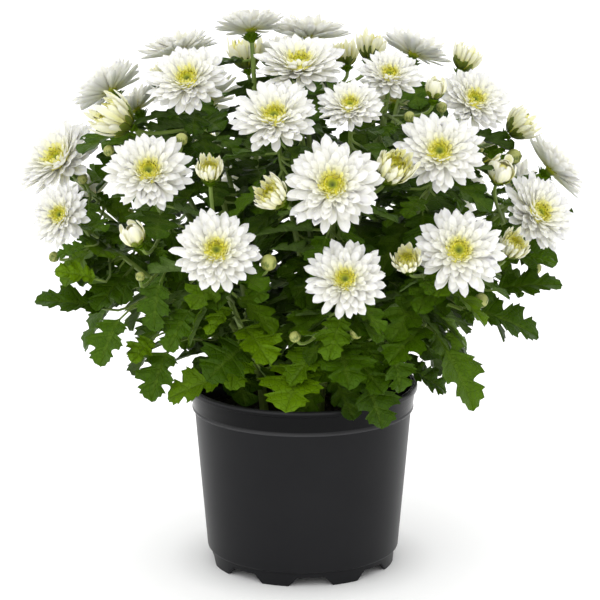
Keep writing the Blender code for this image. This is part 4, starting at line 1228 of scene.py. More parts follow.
HALF_FINE_WHORLS = (
    Whorl(PLAIN_PETAL, 12, 0.77, 26.0, 0.22, -0.02, 0.38, 46.0, 0.20, 1.00, 0.96),
    Whorl(PLAIN_PETAL, 14, 1.00, 38.0, 0.40, 0.16, 0.31, 50.0, 0.24, 0.54, 0.22),
    Whorl(PLAIN_PETAL, 14, 0.86, 44.0, 0.42, 0.24, 0.29, 54.0, 0.26, 0.48, 0.24),
    Whorl(PLAIN_PETAL, 14, 0.75, 50.0, 0.44, 0.40, 0.24, 52.0, 0.26, 0.48, 0.32),
    Whorl(SLIM_PETAL, 16, 0.66, 52.0, 0.42, 0.62, 0.18, 66.0, 0.24, 0.54, 0.46),
    Whorl(SLIM_PETAL, 16, 0.57, 52.0, 0.41, 0.76, 0.16, 86.0, 0.24, 0.60, 0.55),
    Whorl(SLIM_PETAL, 14, 0.47, 54.0, 0.35, 0.86, 0.14, 92.0, 0.24, 0.66, 0.60),
    Whorl(SLIM_PETAL, 12, 0.34, 58.0, 0.25, 0.92, 0.12, 92.0, 0.24, 0.72, 0.64),
    Whorl(SLIM_PETAL, 7, 0.19, 70.0, 0.12, 0.94, 0.11, 76.0, 0.24, 0.80, 0.70),
)
HALF_CORE = (
    (0.20, 0.0, 0.95),
    (0.40, 0.16, 0.8),
    (0.52, 0.42, 0.5),
    (0.55, 0.76, 0.52),
    (0.30, 0.96, 0.66),
)
BUD_FINE_WHORLS = (
    Whorl(WIDE_PETAL, 7, 1.00, 22.0, 0.28, -0.02, 0.62, 54.0, 0.10, 1.00, 0.94),
    Whorl(WIDE_PETAL, 5, 0.96, 30.0, 0.30, 0.04, 0.74, 92.0, 0.10, 0.48, 0.22),
    Whorl(WIDE_PETAL, 6, 0.91, 30.0, 0.30, 0.06, 0.90, 116.0, 0.10, 0.46, 0.22),
    Whorl(WIDE_PETAL, 5, 0.86, 34.0, 0.30, 0.08, 0.80, 114.0, 0.10, 0.44, 0.26),
)
BUD_CORE = ((0.28, 0.0, 0.5), (0.64, 0.26, 0.5), (0.72, 0.70, 0.45), (0.56, 1.10, 0.4), (0.28, 1.36, 0.4))

# A kind of head: the name of its nodes and its slot; the height of its middle over its foot, as a
# length or a share of its radius; its core's top and the top's warmth; the turn from whorl to whorl,
# the extra turn of every second one, and how much its petals differ
HeadKind = namedtuple("HeadKind", "name slot heads low middle whorls core core_top warm turn extra play")
GOLDEN_TURN = math.radians(GOLDEN_ANGLE)
HEAD_KINDS = (
    HeadKind(
        "bloom", "petals", OPEN_HEADS, low=BLOOM_CENTRE_HEIGHT, middle=0.0, whorls=OPEN_WHORLS,
        core=OPEN_CORE, core_top=0.25, warm=1.0, turn=GOLDEN_TURN, extra=0.17, play=1.0,
    ),
    HeadKind(
        "half_bloom", "young_petals", HALF_OPEN_HEADS, low=0.0, middle=HALF_MIDDLE, whorls=HALF_FINE_WHORLS,
        core=HALF_CORE, core_top=0.94, warm=0.80, turn=GOLDEN_TURN, extra=0.0, play=1.0,
    ),
    HeadKind(
        "cream_bud", "young_petals", CREAM_BUDS, low=0.0, middle=YOUNG_MIDDLE, whorls=BUD_FINE_WHORLS,
        core=BUD_CORE, core_top=1.45, warm=0.42, turn=0.55, extra=0.0, play=0.4,
    ),
)

# Green cups and buds with their whorls of bracts, each of a cup's with its reach
CUP_RINGS = ((2.9 * MM, 2.0 * MM), (4.2 * MM, 4.2 * MM))
CUP_RIM = 4.3 * MM
CUP_WHORLS = (
    (6.6 * MM, Whorl(BRACT, 9, 1.0, 34.0, 2.4 / 6.6, 1.6 / 6.6, 0.34, 4.0, 0.1, 0, 0)),
    (8.0 * MM, Whorl(BRACT, 9, 1.0, 22.0, 2.4 / 8.0, 2.8 / 8.0, 0.34, 4.0, 0.1, 0, 0)),
)
CUP_FRESH, CUP_BRACT_FRESH = 0.2, 0.25
CUP_TURN, CUP_PLAY = 0.35, 0.4
KNOB_ANGLES = (0.35, 0.8, 1.25, 1.7, 2.15, 2.6)
KNOB_TOP = 1.96
KNOB_WHORLS = (
    Whorl(BRACT, 8, 0.93, 32.0, 0.36, 0.02, 0.62, 92.0, 0.06, 0, 0),
    Whorl(BRACT, 8, 0.99, 36.0, 0.36, 0.02, 0.62, 70.0, 0.06, 0, 0),
)
KNOB_TINT, KNOB_BRACT_TINT = (0.55, 0.9, 0.0), (0.3, 0.75, 0.0)
KNOB_TURN, KNOB_PLAY = 0.4, 0.3
STEM_RIBS = 0.12
STEM_FINE_SIDES = 8
STEM_TINT = (0.5, 0.5, 0.0)


def fine_head(kind, head, draw):
    """A flower head: its core and its whorls of petals."""
    parts = Parts()
    radius = head.across * MM / 2
    foot = neck_of(head, kind.low + kind.middle * radius)
    matrix = frame_on(foot, facing(head.faces, head.lift), draw.uniform(0, 360))
    fine_core(parts, matrix, kind.core, kind.core_top, radius, kind.warm)
    for k, whorl in enumerate(kind.whorls):
        petal_whorl(parts, matrix, whorl, radius, draw, k * kind.turn + (k % 2) * kind.extra, kind.play)
    return parts


def calyx_bracts(parts, shoot, size, tone, draw):
    """The green cup under a head, with two whorls of pointed bracts."""
    matrix = frame_on(shoot.curve[-1], facing(shoot.head.faces, shoot.head.lift))
    top = -CALYX_HEIGHTS[0] * size
    rings = [(NECK_RADIUS, 0.0, 0.0)] + [(out * size, up * size, 0.0) for out, up in CUP_RINGS]
    rings.append((CUP_RIM * size, top, 0.0))
    fine_core(parts, matrix, rings, top, 1.0, 0.0, (CUP_FRESH, tone, 0.0))
    for k, (reach, whorl) in enumerate(CUP_WHORLS):
        tint = (CUP_BRACT_FRESH, tone, 0.0)
        petal_whorl(parts, matrix, whorl, reach * size, draw, k * CUP_TURN, CUP_PLAY, tint)


def bud_knob(parts, head, draw):
    """A tight bud: a small ball wrapped in bracts, yellow-green at its top."""
    axis = facing(head.faces, head.lift)
    radius = head.across * MM / 2
    matrix = frame_on(dome_point(head) - axis * radius, axis)
    rings = [(math.sin(angle), 1 - math.cos(angle), 0.0) for angle in KNOB_ANGLES]
    fine_core(parts, matrix, rings, KNOB_TOP, radius, 0.0, KNOB_TINT, BUD_SLOT)
    for k, whorl in enumerate(KNOB_WHORLS):
        phase = k * KNOB_TURN
        petal_whorl(parts, matrix, whorl, radius, draw, phase, KNOB_PLAY, KNOB_BRACT_TINT, BUD_SLOT)


def fine_stem(parts, shoot, foot_radius, top_radius, steps):
    """A ribbed stem along the shoot's curve."""
    shares = [i / steps for i in range(steps + 1)]
    path = [shoot.smooth(share) for share in shares]
    radii = [foot_radius + (top_radius - foot_radius) * share for share in shares]
    points, faces = fine_tube(path, radii, STEM_FINE_SIDES, STEM_RIBS)
    parts.add(points, faces, STEM_TINT, STEM_SLOT)


# Nodes of the finishes


def set_inputs(target, values):
    for name, value in values.items():
        target.inputs[name].default_value = value


def finish_named(name, values):
    """A new material with its node tree and its shader, which gets the values given."""
    made = bpy.data.materials.new(name)
    made.use_nodes = True
    shader = made.node_tree.nodes["Principled BSDF"]
    set_inputs(shader, values)
    return made, made.node_tree, shader


def node(tree, kind, **values):
    made = tree.nodes.new(kind)
    for name, value in values.items():
        setattr(made, name, value)
    return made


def tint_of(tree):
    """The three channels of the piece's tint."""
    read = node(tree, "ShaderNodeAttribute", attribute_name="tint")
    split = node(tree, "ShaderNodeSeparateColor")
    tree.links.new(read.outputs["Color"], split.inputs["Color"])
    return split.outputs[:3]


def own_place(tree):
    """Coordinates of the piece's own, in metres."""
    return node(tree, "ShaderNodeTexCoord").outputs["Object"]


def ramp(tree, source, stops):
    made = node(tree, "ShaderNodeValToRGB")
    elements = made.color_ramp.elements
    while len(elements) < len(stops):
        elements.new(0.5)
    for element, (place, colour) in zip(elements, stops):
        element.position = place
        element.color = (*colour, 1.0)
    tree.links.new(source, made.inputs["Fac"])
    return made.outputs["Color"]


def noise(tree, scale, detail=3.0, roughness=0.5):
    made = node(tree, "ShaderNodeTexNoise")
    set_inputs(made, {"Scale": scale, "Detail": detail, "Roughness": roughness})
    tree.links.new(own_place(tree), made.inputs["Vector"])
    return made.outputs["Fac"]


def put(tree, value, socket):
    """Gives the socket a link, a plain colour or a plain number."""
    if isinstance(value, tuple):
        socket.default_value = (*value, 1.0)
    elif isinstance(value, float):
        socket.default_value = value
    else:
        tree.links.new(value, socket)


def mixed(tree, factor, first, second, blend="MIX"):
    """A mix of two colours."""
    made = node(tree, "ShaderNodeMix", data_type="RGBA", blend_type=blend)
    for place, value in ((0, factor), (6, first), (7, second)):
        put(tree, value, made.inputs[place])
    return made.outputs[2]


def math_of(tree, operation, *values):
    made = node(tree, "ShaderNodeMath", operation=operation)
    for value, socket in zip(values, made.inputs):
        put(tree, value, socket)
    return made.outputs[0]


def ranged(tree, source, low, high, span=(0.0, 1.0)):
    """The source's span spread between low and high."""
    made = node(tree, "ShaderNodeMapRange")
    set_inputs(made, {"From Min": span[0], "From Max": span[1], "To Min": low, "To Max": high})
    tree.links.new(source, made.inputs["Value"])
    return made.outputs["Result"]


def quilting(tree, scale, furrow):
    """Cushions between a net of fine furrows."""
    made = node(tree, "ShaderNodeTexVoronoi", feature="DISTANCE_TO_EDGE")
    made.inputs["Scale"].default_value = scale
    tree.links.new(own_place(tree), made.inputs["Vector"])
    return ranged(tree, made.outputs["Distance"], 0.0, 1.0, (0.0, furrow))


def bumped(tree, shader, source, strength, distance):
    made = node(tree, "ShaderNodeBump")
    set_inputs(made, {"Strength": strength, "Distance": distance})
    tree.links.new(source, made.inputs["Height"])
    tree.links.new(made.outputs["Normal"], shader.inputs["Normal"])


def coloured(tree, shader, colour, shade=None):
    """Gives the shader a colour, darkened by a shade between 0 and 1 or so where one is given."""
    whole = colour if shade is None else mixed(tree, 1.0, colour, shade, "MULTIPLY")
    tree.links.new(whole, shader.inputs["Base Color"])


# Finishes: linear colours by their place on a ramp, noise scales, and bumps as strength and height

PETAL_STOPS = (
    (0.0, (0.94, 0.935, 0.88)),
    (0.20, (0.94, 0.93, 0.75)),
    (0.42, (0.91, 0.88, 0.32)),
    (0.62, (0.88, 0.82, 0.06)),
    (0.80, (0.56, 0.58, 0.02)),
    (0.93, (0.17, 0.22, 0.009)),
    (1.0, (0.050, 0.078, 0.005)),
)
PETAL_SHADER = {
    "Roughness": 0.55,
    "Subsurface Weight": 0.8,
    "Subsurface Radius": (1.0, 1.0, 0.8),
    "Subsurface Scale": 0.6 * MM,
    "Specular IOR Level": 0.3,
}
PETAL_GROOVES = 44.0
PETAL_BUMP = (0.35, 0.2 * MM)
# Leaf greens by tone, which holds painted light and shade as well as a random play
LEAF_GREENS = ((0.0, (0.012, 0.032, 0.0003)), (0.5, (0.047, 0.106, 0.0003)), (1.0, (0.165, 0.290, 0.001)))
LEAF_MOTTLE = 160.0
LEAF_MOTTLE_TONES = (0.75, 1.25)
VEIN_GREEN = (0.13, 0.21, 0.02)
VEIN_SHARE = 0.35
UNDERSIDE_GREEN = (0.085, 0.140, 0.030)
LEAF_NET = 300.0
LEAF_FURROW = 0.12
# Painted shade: how far the colour is darkened along the fine furrows of the net
LEAF_FURROW_SHADE = (0.84, 1.0)
LEAF_BUMP = (0.6, 0.4 * MM)
STEM_GREENS = ((0.25, (0.100, 0.160, 0.014)), (0.75, (0.190, 0.275, 0.040)))
STEM_BLOTCHES = 90.0
STEM_GRAIN = 1500.0
STEM_BUMP = (0.2, 0.3 * MM)
BUD_GREENS = ((0.2, (0.10, 0.16, 0.02)), (0.6, (0.42, 0.44, 0.12)))
BUD_MOTTLE = 700.0
BUD_MOTTLE_TONES = (0.7, 1.2)
WALL_TONES = ((0.3, (0.0105, 0.0106, 0.0118)), (0.7, (0.0130, 0.0131, 0.0144)))
WALL_CLOUDS = 14.0
RIM_SPAN = (103.0 * MM, 121.0 * MM)
# Where the rim band begins: it takes the rim's roughness and its painted shade and highlights
RIM_GLOSS_AND_PAINTED_LIGHT_MASK = ((0.04, (0.0, 0.0, 0.0)), (0.08, (1.0, 1.0, 1.0)))
# Painted light on the rim band: dark painted shade where the foliage overhangs it, and lighter painted
# highlight lines on the bead at its foot and on the lip
RIM_PAINTED_SHADE_AND_HIGHLIGHTS = (
    (0.08, (0.045, 0.045, 0.047)),
    (0.16, (0.040, 0.040, 0.042)),
    (0.22, (0.0030, 0.0031, 0.0036)),
    (0.88, (0.0030, 0.0031, 0.0036)),
    (0.93, (0.026, 0.026, 0.028)),
    (1.0, (0.045, 0.045, 0.048)),
)
WALL_ROUGHNESS, RIM_ROUGHNESS = 0.36, 0.22
PLASTIC_GRAIN = 2600.0
PLASTIC_BUMP = (0.12, 0.2 * MM)
SOIL_TONES = ((0.3, (0.012, 0.008, 0.005)), (0.55, (0.035, 0.022, 0.013)), (0.8, (0.10, 0.065, 0.035)))
SOIL_BLOTCHES = 420.0
SOIL_GRAIN = 1100.0
SOIL_RELIEF = (0.8, 1.0 * MM)
STRAW_TONES = ((0.3, (0.42, 0.33, 0.16)), (0.7, (0.66, 0.56, 0.34)))
STRAW_STREAKS = 300.0
FLOOR_WHITE = (0.94, 0.94, 0.94, 1.0)
WHITE = (1.0, 1.0, 1.0, 1.0)
# Painted light: how strongly the floor glows, and the span of distances from the pot's axis over which the
# glow fades out, painting a contact shadow near the foot
FLOOR_PAINTED_LIGHT = 0.15
PAINTED_SHADOW_SPAN = (58.0 * MM, 90.0 * MM)


def petal_finish():
    """White, cream at the base and yellow-green in the middle, with fine grooves along each petal."""
    made, tree, shader = finish_named("petal_white", PETAL_SHADER)
    warm, across, _ = tint_of(tree)
    coloured(tree, shader, ramp(tree, warm, PETAL_STOPS))
    grooves = math_of(tree, "SINE", math_of(tree, "MULTIPLY", across, PETAL_GROOVES))
    bumped(tree, shader, grooves, *PETAL_BUMP)
    return made


def leaf_finish():
    """Green with paler veins, paler and greyer below; leaves differ by their tone, which holds painted
    light and shade as well as a random play, and the furrows of the net are darkened as painted shade.
    """
    made, tree, shader = finish_named("leaf_green", {"Roughness": 0.42, "Specular IOR Level": 0.09})
    vein, tone, under = tint_of(tree)
    mottle = ranged(tree, noise(tree, LEAF_MOTTLE), *LEAF_MOTTLE_TONES)
    mottled = mixed(tree, 1.0, ramp(tree, tone, LEAF_GREENS), mottle, "MULTIPLY")
    veined = mixed(tree, math_of(tree, "MULTIPLY", vein, VEIN_SHARE), mottled, VEIN_GREEN)
    full = mixed(tree, under, veined, UNDERSIDE_GREEN)
    net = quilting(tree, LEAF_NET, LEAF_FURROW)
    # The colour is darkened in the net's furrows: painted shade in the creases
    coloured(tree, shader, full, ranged(tree, net, *LEAF_FURROW_SHADE))
    bumped(tree, shader, net, *LEAF_BUMP)
    return made


def stem_finish():
    """Mid green, greyer and paler than the leaves."""
    made, tree, shader = finish_named("stem_green", {"Roughness": 0.5, "Sheen Weight": 0.1})
    coloured(tree, shader, ramp(tree, noise(tree, STEM_BLOTCHES), STEM_GREENS))
    bumped(tree, shader, noise(tree, STEM_GRAIN, detail=2.0), *STEM_BUMP)
    return made


def bud_finish():
    """Yellow-green, darker in the bracts."""
    made, tree, shader = finish_named("bud_green", {"Roughness": 0.45})
    fresh = tint_of(tree)[0]
    shade = ranged(tree, noise(tree, BUD_MOTTLE), *BUD_MOTTLE_TONES)
    coloured(tree, shader, ramp(tree, fresh, BUD_GREENS), shade)
    return made


def plastic_finish():
    """Charcoal-black moulded plastic: a dull wall with faint flow marks, and a glossier rim band whose dark
    colour is painted shade, with painted highlight lines on the bead at its foot and on the lip.
    """
    made, tree, shader = finish_named("black_plastic", {"Specular IOR Level": 0.10})
    wall = ramp(tree, noise(tree, WALL_CLOUDS, detail=4.0, roughness=0.6), WALL_TONES)
    split = node(tree, "ShaderNodeSeparateXYZ")
    tree.links.new(own_place(tree), split.inputs[0])
    height = ranged(tree, split.outputs["Z"], 0.0, 1.0, RIM_SPAN)
    band = ramp(tree, height, RIM_GLOSS_AND_PAINTED_LIGHT_MASK)
    # The rim band's colour is painted shade with painted highlight lines, not the plastic's own colour
    coloured(tree, shader, mixed(tree, band, wall, ramp(tree, height, RIM_PAINTED_SHADE_AND_HIGHLIGHTS)))
    tree.links.new(ranged(tree, band, WALL_ROUGHNESS, RIM_ROUGHNESS), shader.inputs["Roughness"])
    bumped(tree, shader, noise(tree, PLASTIC_GRAIN, detail=2.0), *PLASTIC_BUMP)
    return made


def soil_finish():
    """Dark damp peat with lighter fibres and crumbs."""
    made, tree, shader = finish_named("soil", {"Roughness": 0.95})
    coloured(tree, shader, ramp(tree, noise(tree, SOIL_BLOTCHES, detail=5.0, roughness=0.7), SOIL_TONES))
    bumped(tree, shader, noise(tree, SOIL_GRAIN, detail=4.0, roughness=0.7), *SOIL_RELIEF)
    return made


def straw_finish():
    """Pale dry straw."""
    made, tree, shader = finish_named("dry_straw", {"Roughness": 0.7})
    coloured(tree, shader, ramp(tree, noise(tree, STRAW_STREAKS), STRAW_TONES))
    return made


def floor_finish():
    """White, with painted light: the floor glows a little though it is no lamp, and the glow fades out
    towards the foot of the pot, painting a soft contact shadow there.
    """
    values = {"Base Color": FLOOR_WHITE, "Roughness": 0.9, "Specular IOR Level": 0.0}
    made, tree, shader = finish_named("pale_floor", values | {"Emission Color": WHITE})
    place = node(tree, "ShaderNodeNewGeometry")
    away = node(tree, "ShaderNodeVectorMath", operation="LENGTH")
    tree.links.new(place.outputs["Position"], away.inputs[0])
    # The glow is painted light, and its fall to nothing near the pot is a painted contact shadow
    painted_light = ranged(tree, away.outputs["Value"], 0.0, FLOOR_PAINTED_LIGHT, PAINTED_SHADOW_SPAN)
    tree.links.new(painted_light, shader.inputs["Emission Strength"])
    return made


# Pot: radius and height in millimetres, from the middle of the floor's underside round the foot,
# up the wall, over the lip with its bead and groove, and down inside to the floor's top

POT_PROFILE = (
    (0.0, 8.0), (30.0, 8.0), (56.6, 8.0), (57.2, 7.7), (57.4, 7.0), (57.4, 0.5), (57.8, 0.05),
    (58.3, 0.0), (59.2, 0.0), (59.8, 0.15), (60.0, 0.6), (60.35, 8.7), (60.6, 9.2), (61.2, 9.5),
    (62.3, 10.1), (62.75, 10.7), (63.0, 11.6), (65.6, 42.0), (68.3, 73.0), (70.75, 102.4),
    (70.8, 103.3), (70.9, 103.9), (71.4, 104.0), (72.0, 104.1), (72.4, 104.5), (72.55, 105.1),
    (72.4, 105.7), (72.1, 106.2), (72.1, 107.0), (72.8, 111.4), (73.5, 115.7), (73.6, 116.5),
    (73.7, 117.0), (74.3, 117.1), (74.75, 117.4), (74.95, 118.0), (75.0, 118.8), (74.95, 119.6),
    (74.7, 120.3), (74.2, 120.7), (73.6, 120.8), (73.2, 120.4), (73.0, 119.8), (72.6, 119.6),
    (72.2, 119.8), (71.9, 120.4), (71.4, 120.6), (70.9, 120.2), (70.6, 119.0), (70.35, 106.4),
    (70.0, 104.8), (69.3, 103.6), (66.5, 72.0), (63.9, 41.0), (61.4, 11.6), (60.9, 10.5),
    (60.2, 10.2), (30.0, 10.2), (0.0, 10.2),
)
POT_FINE_SIDES = 168
POT_SHARP = 28.0


def turned(profile, sides):
    """Points and triangles of a solid turned round Z."""
    points, rings, faces = [], [], []
    for radius, height in profile:
        count = sides if radius > 0 else 1
        rings.append([len(points) + k for k in range(count)])
        for k in range(count):
            angle = math.tau * k / sides
            points.append(Vector((radius * math.sin(angle), -radius * math.cos(angle), height)))
    for low, high in zip(rings, rings[1:]):
        for k in range(sides):
            n = (k + 1) % sides
            corners = (low[k % len(low)], low[n % len(low)], high[n % len(high)], high[k % len(high)])
            for a, b, c in ((0, 1, 2), (0, 2, 3)):
                tri = (corners[a], corners[b], corners[c])
                if len(set(tri)) == 3:
                    faces.append(tri)
    return points, faces


def pot_cutters():
    """The notches in the pot's foot and the drain holes in its floor."""
    cutters = [notch_cutter(NOTCH_BEARING + 360.0 * k / NOTCHES) for k in range(NOTCHES)]
    for k in range(DRAIN_HOLES):
        middle = facing(NOTCH_BEARING + 360.0 * (k + 0.5) / DRAIN_HOLES, 0.0) * DRAIN_RING
        cutters.append(post(middle, DRAIN_RADIUS, FLOOR_UNDER - CUT_MARGIN, FLOOR_TOP + CUT_MARGIN))
    return cutters


def cut_out(obj, cutters):
    """Takes the cutters out of the object."""
    holes = bpy.data.collections.new("pot_holes")
    bpy.context.scene.collection.children.link(holes)
    for i, shell in enumerate(cutters):
        mesh = bpy.data.meshes.new(f"pot_hole_{i}")
        mesh.from_pydata([tuple(p) for p in shell.points], [], shell.faces)
        holes.objects.link(bpy.data.objects.new(mesh.name, mesh))
    cut = obj.modifiers.new("Cut", "BOOLEAN")
    cut.operation = "DIFFERENCE"
    cut.operand_type = "COLLECTION"
    cut.collection = holes
    cut.solver = "EXACT"
    bpy.context.view_layer.objects.active = obj
    bpy.ops.object.modifier_apply(modifier=cut.name)
    for hole in list(holes.objects):
        bpy.data.objects.remove(hole)
    bpy.data.collections.remove(holes)


def make_pot(plastic):
    parts = Parts()
    parts.add(*turned([(r * MM, h * MM) for r, h in POT_PROFILE], POT_FINE_SIDES))
    pot = parts.build("pot_fine", [plastic])
    cut_out(pot, pot_cutters())
    pot.data.set_sharp_from_angle(angle=math.radians(POT_SHARP))
    return pot


# Soil, its crumbs and fibres, and the straw

SOIL_FINE_RINGS = 26
SOIL_FINE_SIDES = 96
SOIL_LIP = 0.5 * MM
SOIL_PLAIN_EDGE = 2.0 * MM
SOIL_LUMP = 0.9 * MM
SOIL_SINK = 0.6 * MM
SOIL_SHARP = 80.0
SOIL_SEED = 5
CRUMBS = 420
CRUMB_SEED = 9
CRUMB_MARGIN = 3.5 * MM
CRUMB_SIZE = (0.6 * MM, 2.2 * MM)
CRUMB_SHARP = 30.0
BARK_SHARE = 0.1
BARK_SIZE = 1.6
CRUMB_CORNER = (0.7, 1.2)
CRUMB_LENGTH = (0.7, 1.5)
CRUMB_HEIGHT = (0.5, 0.9)
CRUMB_LIFT = 0.2
FIBRES = 36
FIBRE_REACH = 0.9
FIBRE_LIFT = 0.6 * MM
FIBRE_STEPS = 4
FIBRE_TURN = 0.5
FIBRE_STEP = (1.5 * MM, 3.0 * MM)
FIBRE_SLOPE = (-0.1, 0.12)
FIBRE_RADIUS = 0.28 * MM
FIBRE_SIDES = 5
STRAW_HEIGHT = 1.6 * MM
STRAW_SIDES = 6

# Straw: places in millimetres, the height over STRAW_HEIGHT, and the radius
STRAW_POINTS = (
    (2, -60, 0, 0.5),
    (8, -62, 1.2, 0.7),
    (15, -62.5, 1.6, 0.75),
    (22, -60.5, 1.8, 0.7),
    (28, -56, 1.0, 0.6),
    (32, -51, 0.2, 0.35),
)


def make_soil(earth):
    """The plug of soil, with a crumbly top."""
    draw = random.Random(SOIL_SEED)
    foot, rim = FLOOR_TOP + GAP, SOIL_TOP - SOIL_SHOULDER
    edge = inner_radius(rim) - GAP
    profile = [(0.0, foot), (inner_radius(foot) - GAP, foot), (edge, rim)]
    for ring in range(SOIL_FINE_RINGS, -1, -1):
        profile.append(((edge - SOIL_LIP) * ring / SOIL_FINE_RINGS, SOIL_TOP))
    points, faces = turned(profile, SOIL_FINE_SIDES)
    for point in points:
        if point.z > rim + GAP:
            radius, angle = math.hypot(point.x, point.y), math.atan2(point.y, point.x)
            lump = draw.uniform(-SOIL_LUMP, SOIL_LUMP) if radius < edge - SOIL_PLAIN_EDGE else 0.0
            point.z = soil_height(radius, angle) + lump - SOIL_SINK
    parts = Parts()
    parts.add(points, faces)
    return parts.build("soil_fine", [earth], SOIL_SHARP)


def icosahedron():
    """Points and triangles of a round lump of radius 1: two tips and two rings of five."""
    height = 1 / math.sqrt(5)
    points = [(0, 0, 1)]
    for level, shift in ((height, 0.0), (-height, 0.5)):
        for k in range(5):
            angle = math.tau * (k + shift) / 5
            points.append((2 * height * math.cos(angle), 2 * height * math.sin(angle), level))
    points.append((0, 0, -1))
    faces = []
    for k in range(5):
        upper, next_upper = 1 + k, 1 + (k + 1) % 5
        lower, next_lower = 6 + k, 6 + (k + 1) % 5
        faces += [(0, upper, next_upper), (upper, lower, next_upper)]
        faces += [(lower, next_lower, next_upper), (11, next_lower, lower)]
    return np.array(points), np.array(faces)


def on_soil(reach, draw, lift):
    """A drawn place on the soil, within reach of the middle; lift gives the height over the soil."""
    radius, angle = reach * math.sqrt(draw.random()), draw.uniform(0, math.tau)
    return Vector((radius * math.cos(angle), radius * math.sin(angle), soil_height(radius, angle) + lift))


def add_crumb(parts, lump, edge, draw):
    """A crumb or, now and then, a larger bit of bark."""
    place = on_soil(edge, draw, 0.0)
    size = draw.uniform(*CRUMB_SIZE) * (BARK_SIZE if draw.random() < BARK_SHARE else 1.0)
    points, faces = lump
    shape = points * np.array([[draw.uniform(*CRUMB_CORNER)] for _ in points])
    shape = shape * np.array((draw.uniform(*CRUMB_LENGTH), 1.0, draw.uniform(*CRUMB_HEIGHT))) * size
    turn = np.array(Matrix.Rotation(draw.uniform(0, math.tau), 3, "Z"))
    parts.add(shape @ turn.T + np.array(place + UP * size * CRUMB_LIFT), faces)


def add_fibre(parts, edge, draw):
    """A thin fibre that wanders over the soil."""
    path = [on_soil(edge * FIBRE_REACH, draw, FIBRE_LIFT)]
    heading = draw.uniform(0, math.tau)
    for _ in range(FIBRE_STEPS):
        heading += draw.uniform(-FIBRE_TURN, FIBRE_TURN)
        step = draw.uniform(*FIBRE_STEP)
        way = Vector((math.cos(heading), math.sin(heading), draw.uniform(*FIBRE_SLOPE)))
        path.append(path[-1] + way * step)
    parts.add(*fine_tube(path, [FIBRE_RADIUS] * len(path), FIBRE_SIDES))


def make_crumbs(earth):
    """Loose crumbs, bits of bark and fibres on the soil."""
    draw = random.Random(CRUMB_SEED)
    parts = Parts()
    edge = inner_radius(SOIL_TOP) - CRUMB_MARGIN
    lump = icosahedron()
    for _ in range(CRUMBS):
        add_crumb(parts, lump, edge, draw)
    for _ in range(FIBRES):
        add_fibre(parts, edge, draw)
    return parts.build("soil_crumbs", [earth], CRUMB_SHARP)


def make_straw(finish):
    """The dry straw-like bit on the soil near the front."""
    foot = Vector((0.0, 0.0, SOIL_TOP + STRAW_HEIGHT))
    path = [foot + Vector((x, y, z)) * MM for x, y, z, _ in STRAW_POINTS]
    parts = Parts()
    parts.add(*fine_tube(path, [radius * MM for *_, radius in STRAW_POINTS], STRAW_SIDES))
    return parts.build("straw_bit", [finish])


# The whole plant

PLANT_SEED = 21
TRUNK_FINE_STEPS = 6
SHOOT_FINE_STEPS = 16
SIDE_FINE_STEPS = 12
BUD_FINE_STEPS = 10
SIDE_TOP = 0.95
CALYX_TONE = 0.6
SIDE_CALYX_TONE = 0.65

# A leaf's tone, from 0 for dark to 1 for bright: painted light at the outside and low at the front, painted
# shade inside and below, with a random play
TONE_REACH = 120.0 * MM
TONE_HEIGHT = 170.0 * MM
TONE_DEPTH = 70.0 * MM
PAINTED_SHADE_INSIDE = 0.1
PAINTED_LIGHT_OUTSIDE = 0.35
PAINTED_LIGHT_FRONT = 0.25
TONE_PLAY = (-0.2, 0.3)
INNER_PAINTED_SHADE = 0.8


def tree_of_node(name):
    mesh = frame["nodes"][name].data
    points = [v.co.copy() for v in mesh.vertices]
    return BVHTree.FromPolygons(points, [tuple(p.vertices) for p in mesh.polygons])


def tone_with_painted_light(place, draw):
    """A leaf's tone with painted light and shade: bright at the outside and low at the front, dark inside
    and below, with a random play.
    """
    out = math.hypot(place.x, place.y) / TONE_REACH
    front = max(-place.y, 0.0) / TONE_REACH
    low = max(TONE_HEIGHT - place.z, 0.0) / TONE_DEPTH
    tone = PAINTED_SHADE_INSIDE + PAINTED_LIGHT_OUTSIDE * out + PAINTED_LIGHT_FRONT * front * low + draw.uniform(*TONE_PLAY)
    return min(max(tone, 0.0), 1.0)


def add_stems(plants, trunks, shoots, side, draw):
    """Fine stems for each plant, with the green cups of the heads and the green buds."""
    for trunk in trunks:
        fine_stem(plants[trunk.plant], trunk, TRUNK_RADIUS, TRUNK_RADIUS * TRUNK_TAPER, TRUNK_FINE_STEPS)
    for shoot in shoots:
        fine_stem(plants[shoot.plant], shoot, SHOOT_RADIUS, NECK_RADIUS, SHOOT_FINE_STEPS)
        calyx_bracts(plants[shoot.plant], shoot, 1.0, CALYX_TONE, draw)
    young = len(HALF_OPEN_HEADS + CREAM_BUDS)
    for shoot in side[:young]:
        fine_stem(plants[shoot.plant], shoot, SIDE_RADIUS, SIDE_RADIUS * SIDE_TOP, SIDE_FINE_STEPS)
        calyx_bracts(plants[shoot.plant], shoot, SIDE_CALYX, SIDE_CALYX_TONE, draw)
    for shoot in side[young:]:
        fine_stem(plants[shoot.plant], shoot, PEDICEL_RADIUS, PEDICEL_RADIUS, BUD_FINE_STEPS)
        bud_knob(plants[shoot.plant], shoot.head, draw)


